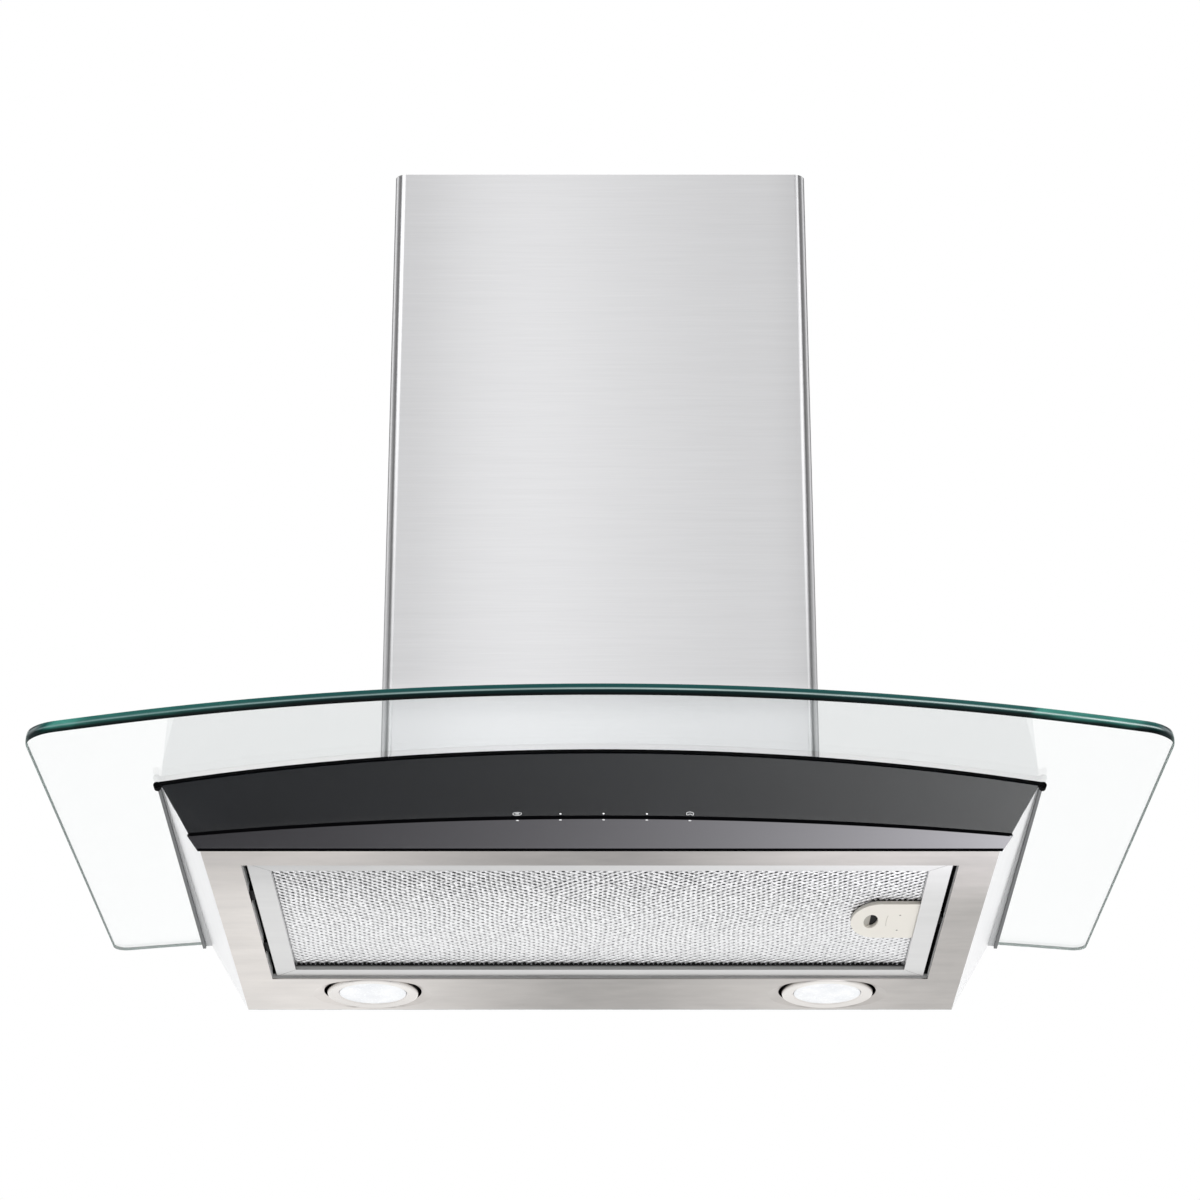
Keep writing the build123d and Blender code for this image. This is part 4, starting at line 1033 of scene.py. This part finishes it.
bounced = wmath("GREATER_THAN", wmath("ADD", lp.outputs["Glossy Depth"], lp.outputs["Diffuse Depth"]), 0.5)
wt.links.new(bounced, mixw.inputs[0])
wt.links.new(bg_white.outputs[0], mixw.inputs[1])
wt.links.new(bg_env.outputs[0], mixw.inputs[2])
wt.links.new(mixw.outputs[0], wo.inputs["Surface"])

# a low soft card under the hood, seen only in gloss: dim on the left, bright on the right
cm = bpy.data.materials.new("soft_card")
cm.use_nodes = True
ct = cm.node_tree
ct.nodes.clear()
co = ct.nodes.new("ShaderNodeOutputMaterial")
ce = ct.nodes.new("ShaderNodeEmission")
ctc = ct.nodes.new("ShaderNodeTexCoord")
csx = ct.nodes.new("ShaderNodeSeparateXYZ")
ct.links.new(ctc.outputs["Object"], csx.inputs[0])


def cmath(op, a, b):
    n = ct.nodes.new("ShaderNodeMath")
    n.operation = op
    for i, v in enumerate((a, b)):
        if isinstance(v, (int, float)):
            n.inputs[i].default_value = v
        else:
            ct.links.new(v, n.inputs[i])
    return n.outputs[0]


ct.links.new(cmath("MULTIPLY", cmath("POWER", 2.71828, cmath("MULTIPLY", csx.outputs[0], 4.5)), 0.80), ce.inputs["Strength"])
ce.inputs["Color"].default_value = (0.965, 0.95, 1.0, 1)
ct.links.new(ce.outputs[0], co.inputs["Surface"])
me = bpy.data.meshes.new("low_card")
me.from_pydata([(-0.317, -0.22, -0.0885), (0.317, -0.22, -0.0885), (0.317, -0.22, -0.0508), (-0.317, -0.22, -0.0508)], [], [(0, 1, 2, 3)])
me.materials.append(cm)
card = bpy.data.objects.new("low_card", me)
SC.collection.objects.link(card)
for at in ("visible_camera", "visible_diffuse", "visible_transmission", "visible_shadow", "visible_volume_scatter"):
    setattr(card, at, False)

# a faint glow just in front of the fascia, seen only in the gloss of the glass above it
gm_ = bpy.data.materials.new("fascia_glow")
gm_.use_nodes = True
gt = gm_.node_tree
gt.nodes.clear()
go = gt.nodes.new("ShaderNodeOutputMaterial")
ge = gt.nodes.new("ShaderNodeEmission")
gb = gt.nodes.new("ShaderNodeBsdfTransparent")
gx = gt.nodes.new("ShaderNodeMixShader")
gg = gt.nodes.new("ShaderNodeNewGeometry")
ge.inputs["Strength"].default_value = 0.52
ge.inputs["Color"].default_value = (0.88, 0.98, 1.0, 1)
gt.links.new(gg.outputs["Backfacing"], gx.inputs[0])
gt.links.new(ge.outputs[0], gx.inputs[1])
gt.links.new(gb.outputs[0], gx.inputs[2])
gt.links.new(gx.outputs[0], go.inputs["Surface"])
gv, gf = [], []
for j in range(7):
    for i in range(41):
        u = i / 20 - 1
        zz = 0.008 + (arch_z(0.29 * u) - 0.0042 - 0.008) * j / 6
        xx = u * (0.2835 + 0.019 * zz / 0.0635)
        gv.append(tuple(fascia_point(xx, zz, 0.0042)))
for j in range(6):
    for i in range(40):
        a_ = j * 41 + i
        gf.append((a_, a_ + 1, a_ + 42, a_ + 41))
me = bpy.data.meshes.new("fascia_glow")
me.from_pydata(gv, [], gf)
me.materials.append(gm_)
glow = bpy.data.objects.new("fascia_glow", me)
SC.collection.objects.link(glow)
for at in ("visible_camera", "visible_diffuse", "visible_transmission", "visible_shadow", "visible_volume_scatter"):
    setattr(glow, at, False)

FLOOR_Z = -1.45
fm_ = Mat("pale_floor")
fm_.set(color=(0.86, 0.86, 0.855), rough=0.75, spec=0.2)
fn = fm_.noise(fm_.coords((3, 3, 3)), 1.0, 3.0)
fm_.link(fm_.mix(fm_.rng(fn, 0.3, 0.7, 0, 1), (0.85, 0.85, 0.845), (0.88, 0.88, 0.875)), fm_.p.inputs["Base Color"])
dist = fm_.add("ShaderNodeVectorMath", operation="LENGTH")
fm_.link(fm_.coords((1, 1, 0)), dist.inputs[0])
fade = fm_.rng(dist.outputs["Value"], 2.2, 7.0, 0.0, 1.0, True)
ftr = fm_.add("ShaderNodeBsdfTransparent")
fmx = fm_.add("ShaderNodeMixShader")
fm_.link(fade, fmx.inputs[0])
fm_.link(fm_.p.outputs[0], fmx.inputs[1])
fm_.link(ftr.outputs[0], fmx.inputs[2])
fm_.link(fmx.outputs[0], fm_.out.inputs["Surface"])
me = bpy.data.meshes.new("floor")
g, s = 28, 7.5
me.from_pydata([((i / g * 2 - 1) * s, (j / g * 2 - 1) * s, FLOOR_Z) for j in range(g + 1) for i in range(g + 1)], [],
               [(j * (g + 1) + i, j * (g + 1) + i + 1, (j + 1) * (g + 1) + i + 1, (j + 1) * (g + 1) + i) for j in range(g) for i in range(g)])
me.materials.append(fm_.m)
floor = bpy.data.objects.new("floor", me)
SC.collection.objects.link(floor)
floor.visible_glossy = False


def area(name, loc, aim, size, power, color=(1, 1, 1), glossy=False):
    li = bpy.data.lights.new(name, "AREA")
    li.shape = "RECTANGLE"
    li.size, li.size_y = size
    li.energy = power
    li.color = color
    ob = bpy.data.objects.new(name, li)
    ob.location = loc
    ob.rotation_euler = (Vector(aim) - Vector(loc)).to_track_quat("-Z", "Y").to_euler()
    SC.collection.objects.link(ob)
    ob.visible_glossy = glossy
    ob.visible_camera = False
    ob.visible_transmission = False
    return ob


area("key_soft", (-1.5, -2.6, 1.9), (0, -0.2, 0.2), (1.8, 1.8), 26)
area("fill_right", (2.4, -1.9, 0.3), (0, -0.2, 0.1), (1.8, 1.6), 16)
area("top_soft", (0.2, -0.3, 2.8), (0, -0.2, 0), (2.4, 2.4), 18)
area("back_soft", (0.5, 2.6, 1.6), (0, -0.2, 0.2), (2.2, 1.8), 16)

# ------------------------------------------------------------------ camera
F_PX = 3524.9
cam = bpy.data.cameras.new("camera")
cam.sensor_width = 36.0
cam.lens = 36.0 * F_PX / 1200
cam.clip_start, cam.clip_end = 0.05, 60
camo = bpy.data.objects.new("camera", cam)
pitch = math.radians(23.86)
camo.location = (0.0, -2.6093, -0.8091)
camo.rotation_euler = (math.pi / 2 + pitch, 0, 0)
SC.collection.objects.link(camo)
SC.camera = camo

SC.view_settings.view_transform = "Standard"
SC.view_settings.look = "None"
SC.cycles.max_bounces = 34
SC.cycles.transmission_bounces = 34
SC.cycles.glossy_bounces = 34
SC.cycles.diffuse_bounces = 4
SC.cycles.transparent_max_bounces = 16
SC.cycles.sample_clamp_indirect = 6.0
SC.cycles.caustics_reflective = False
SC.cycles.caustics_refractive = True
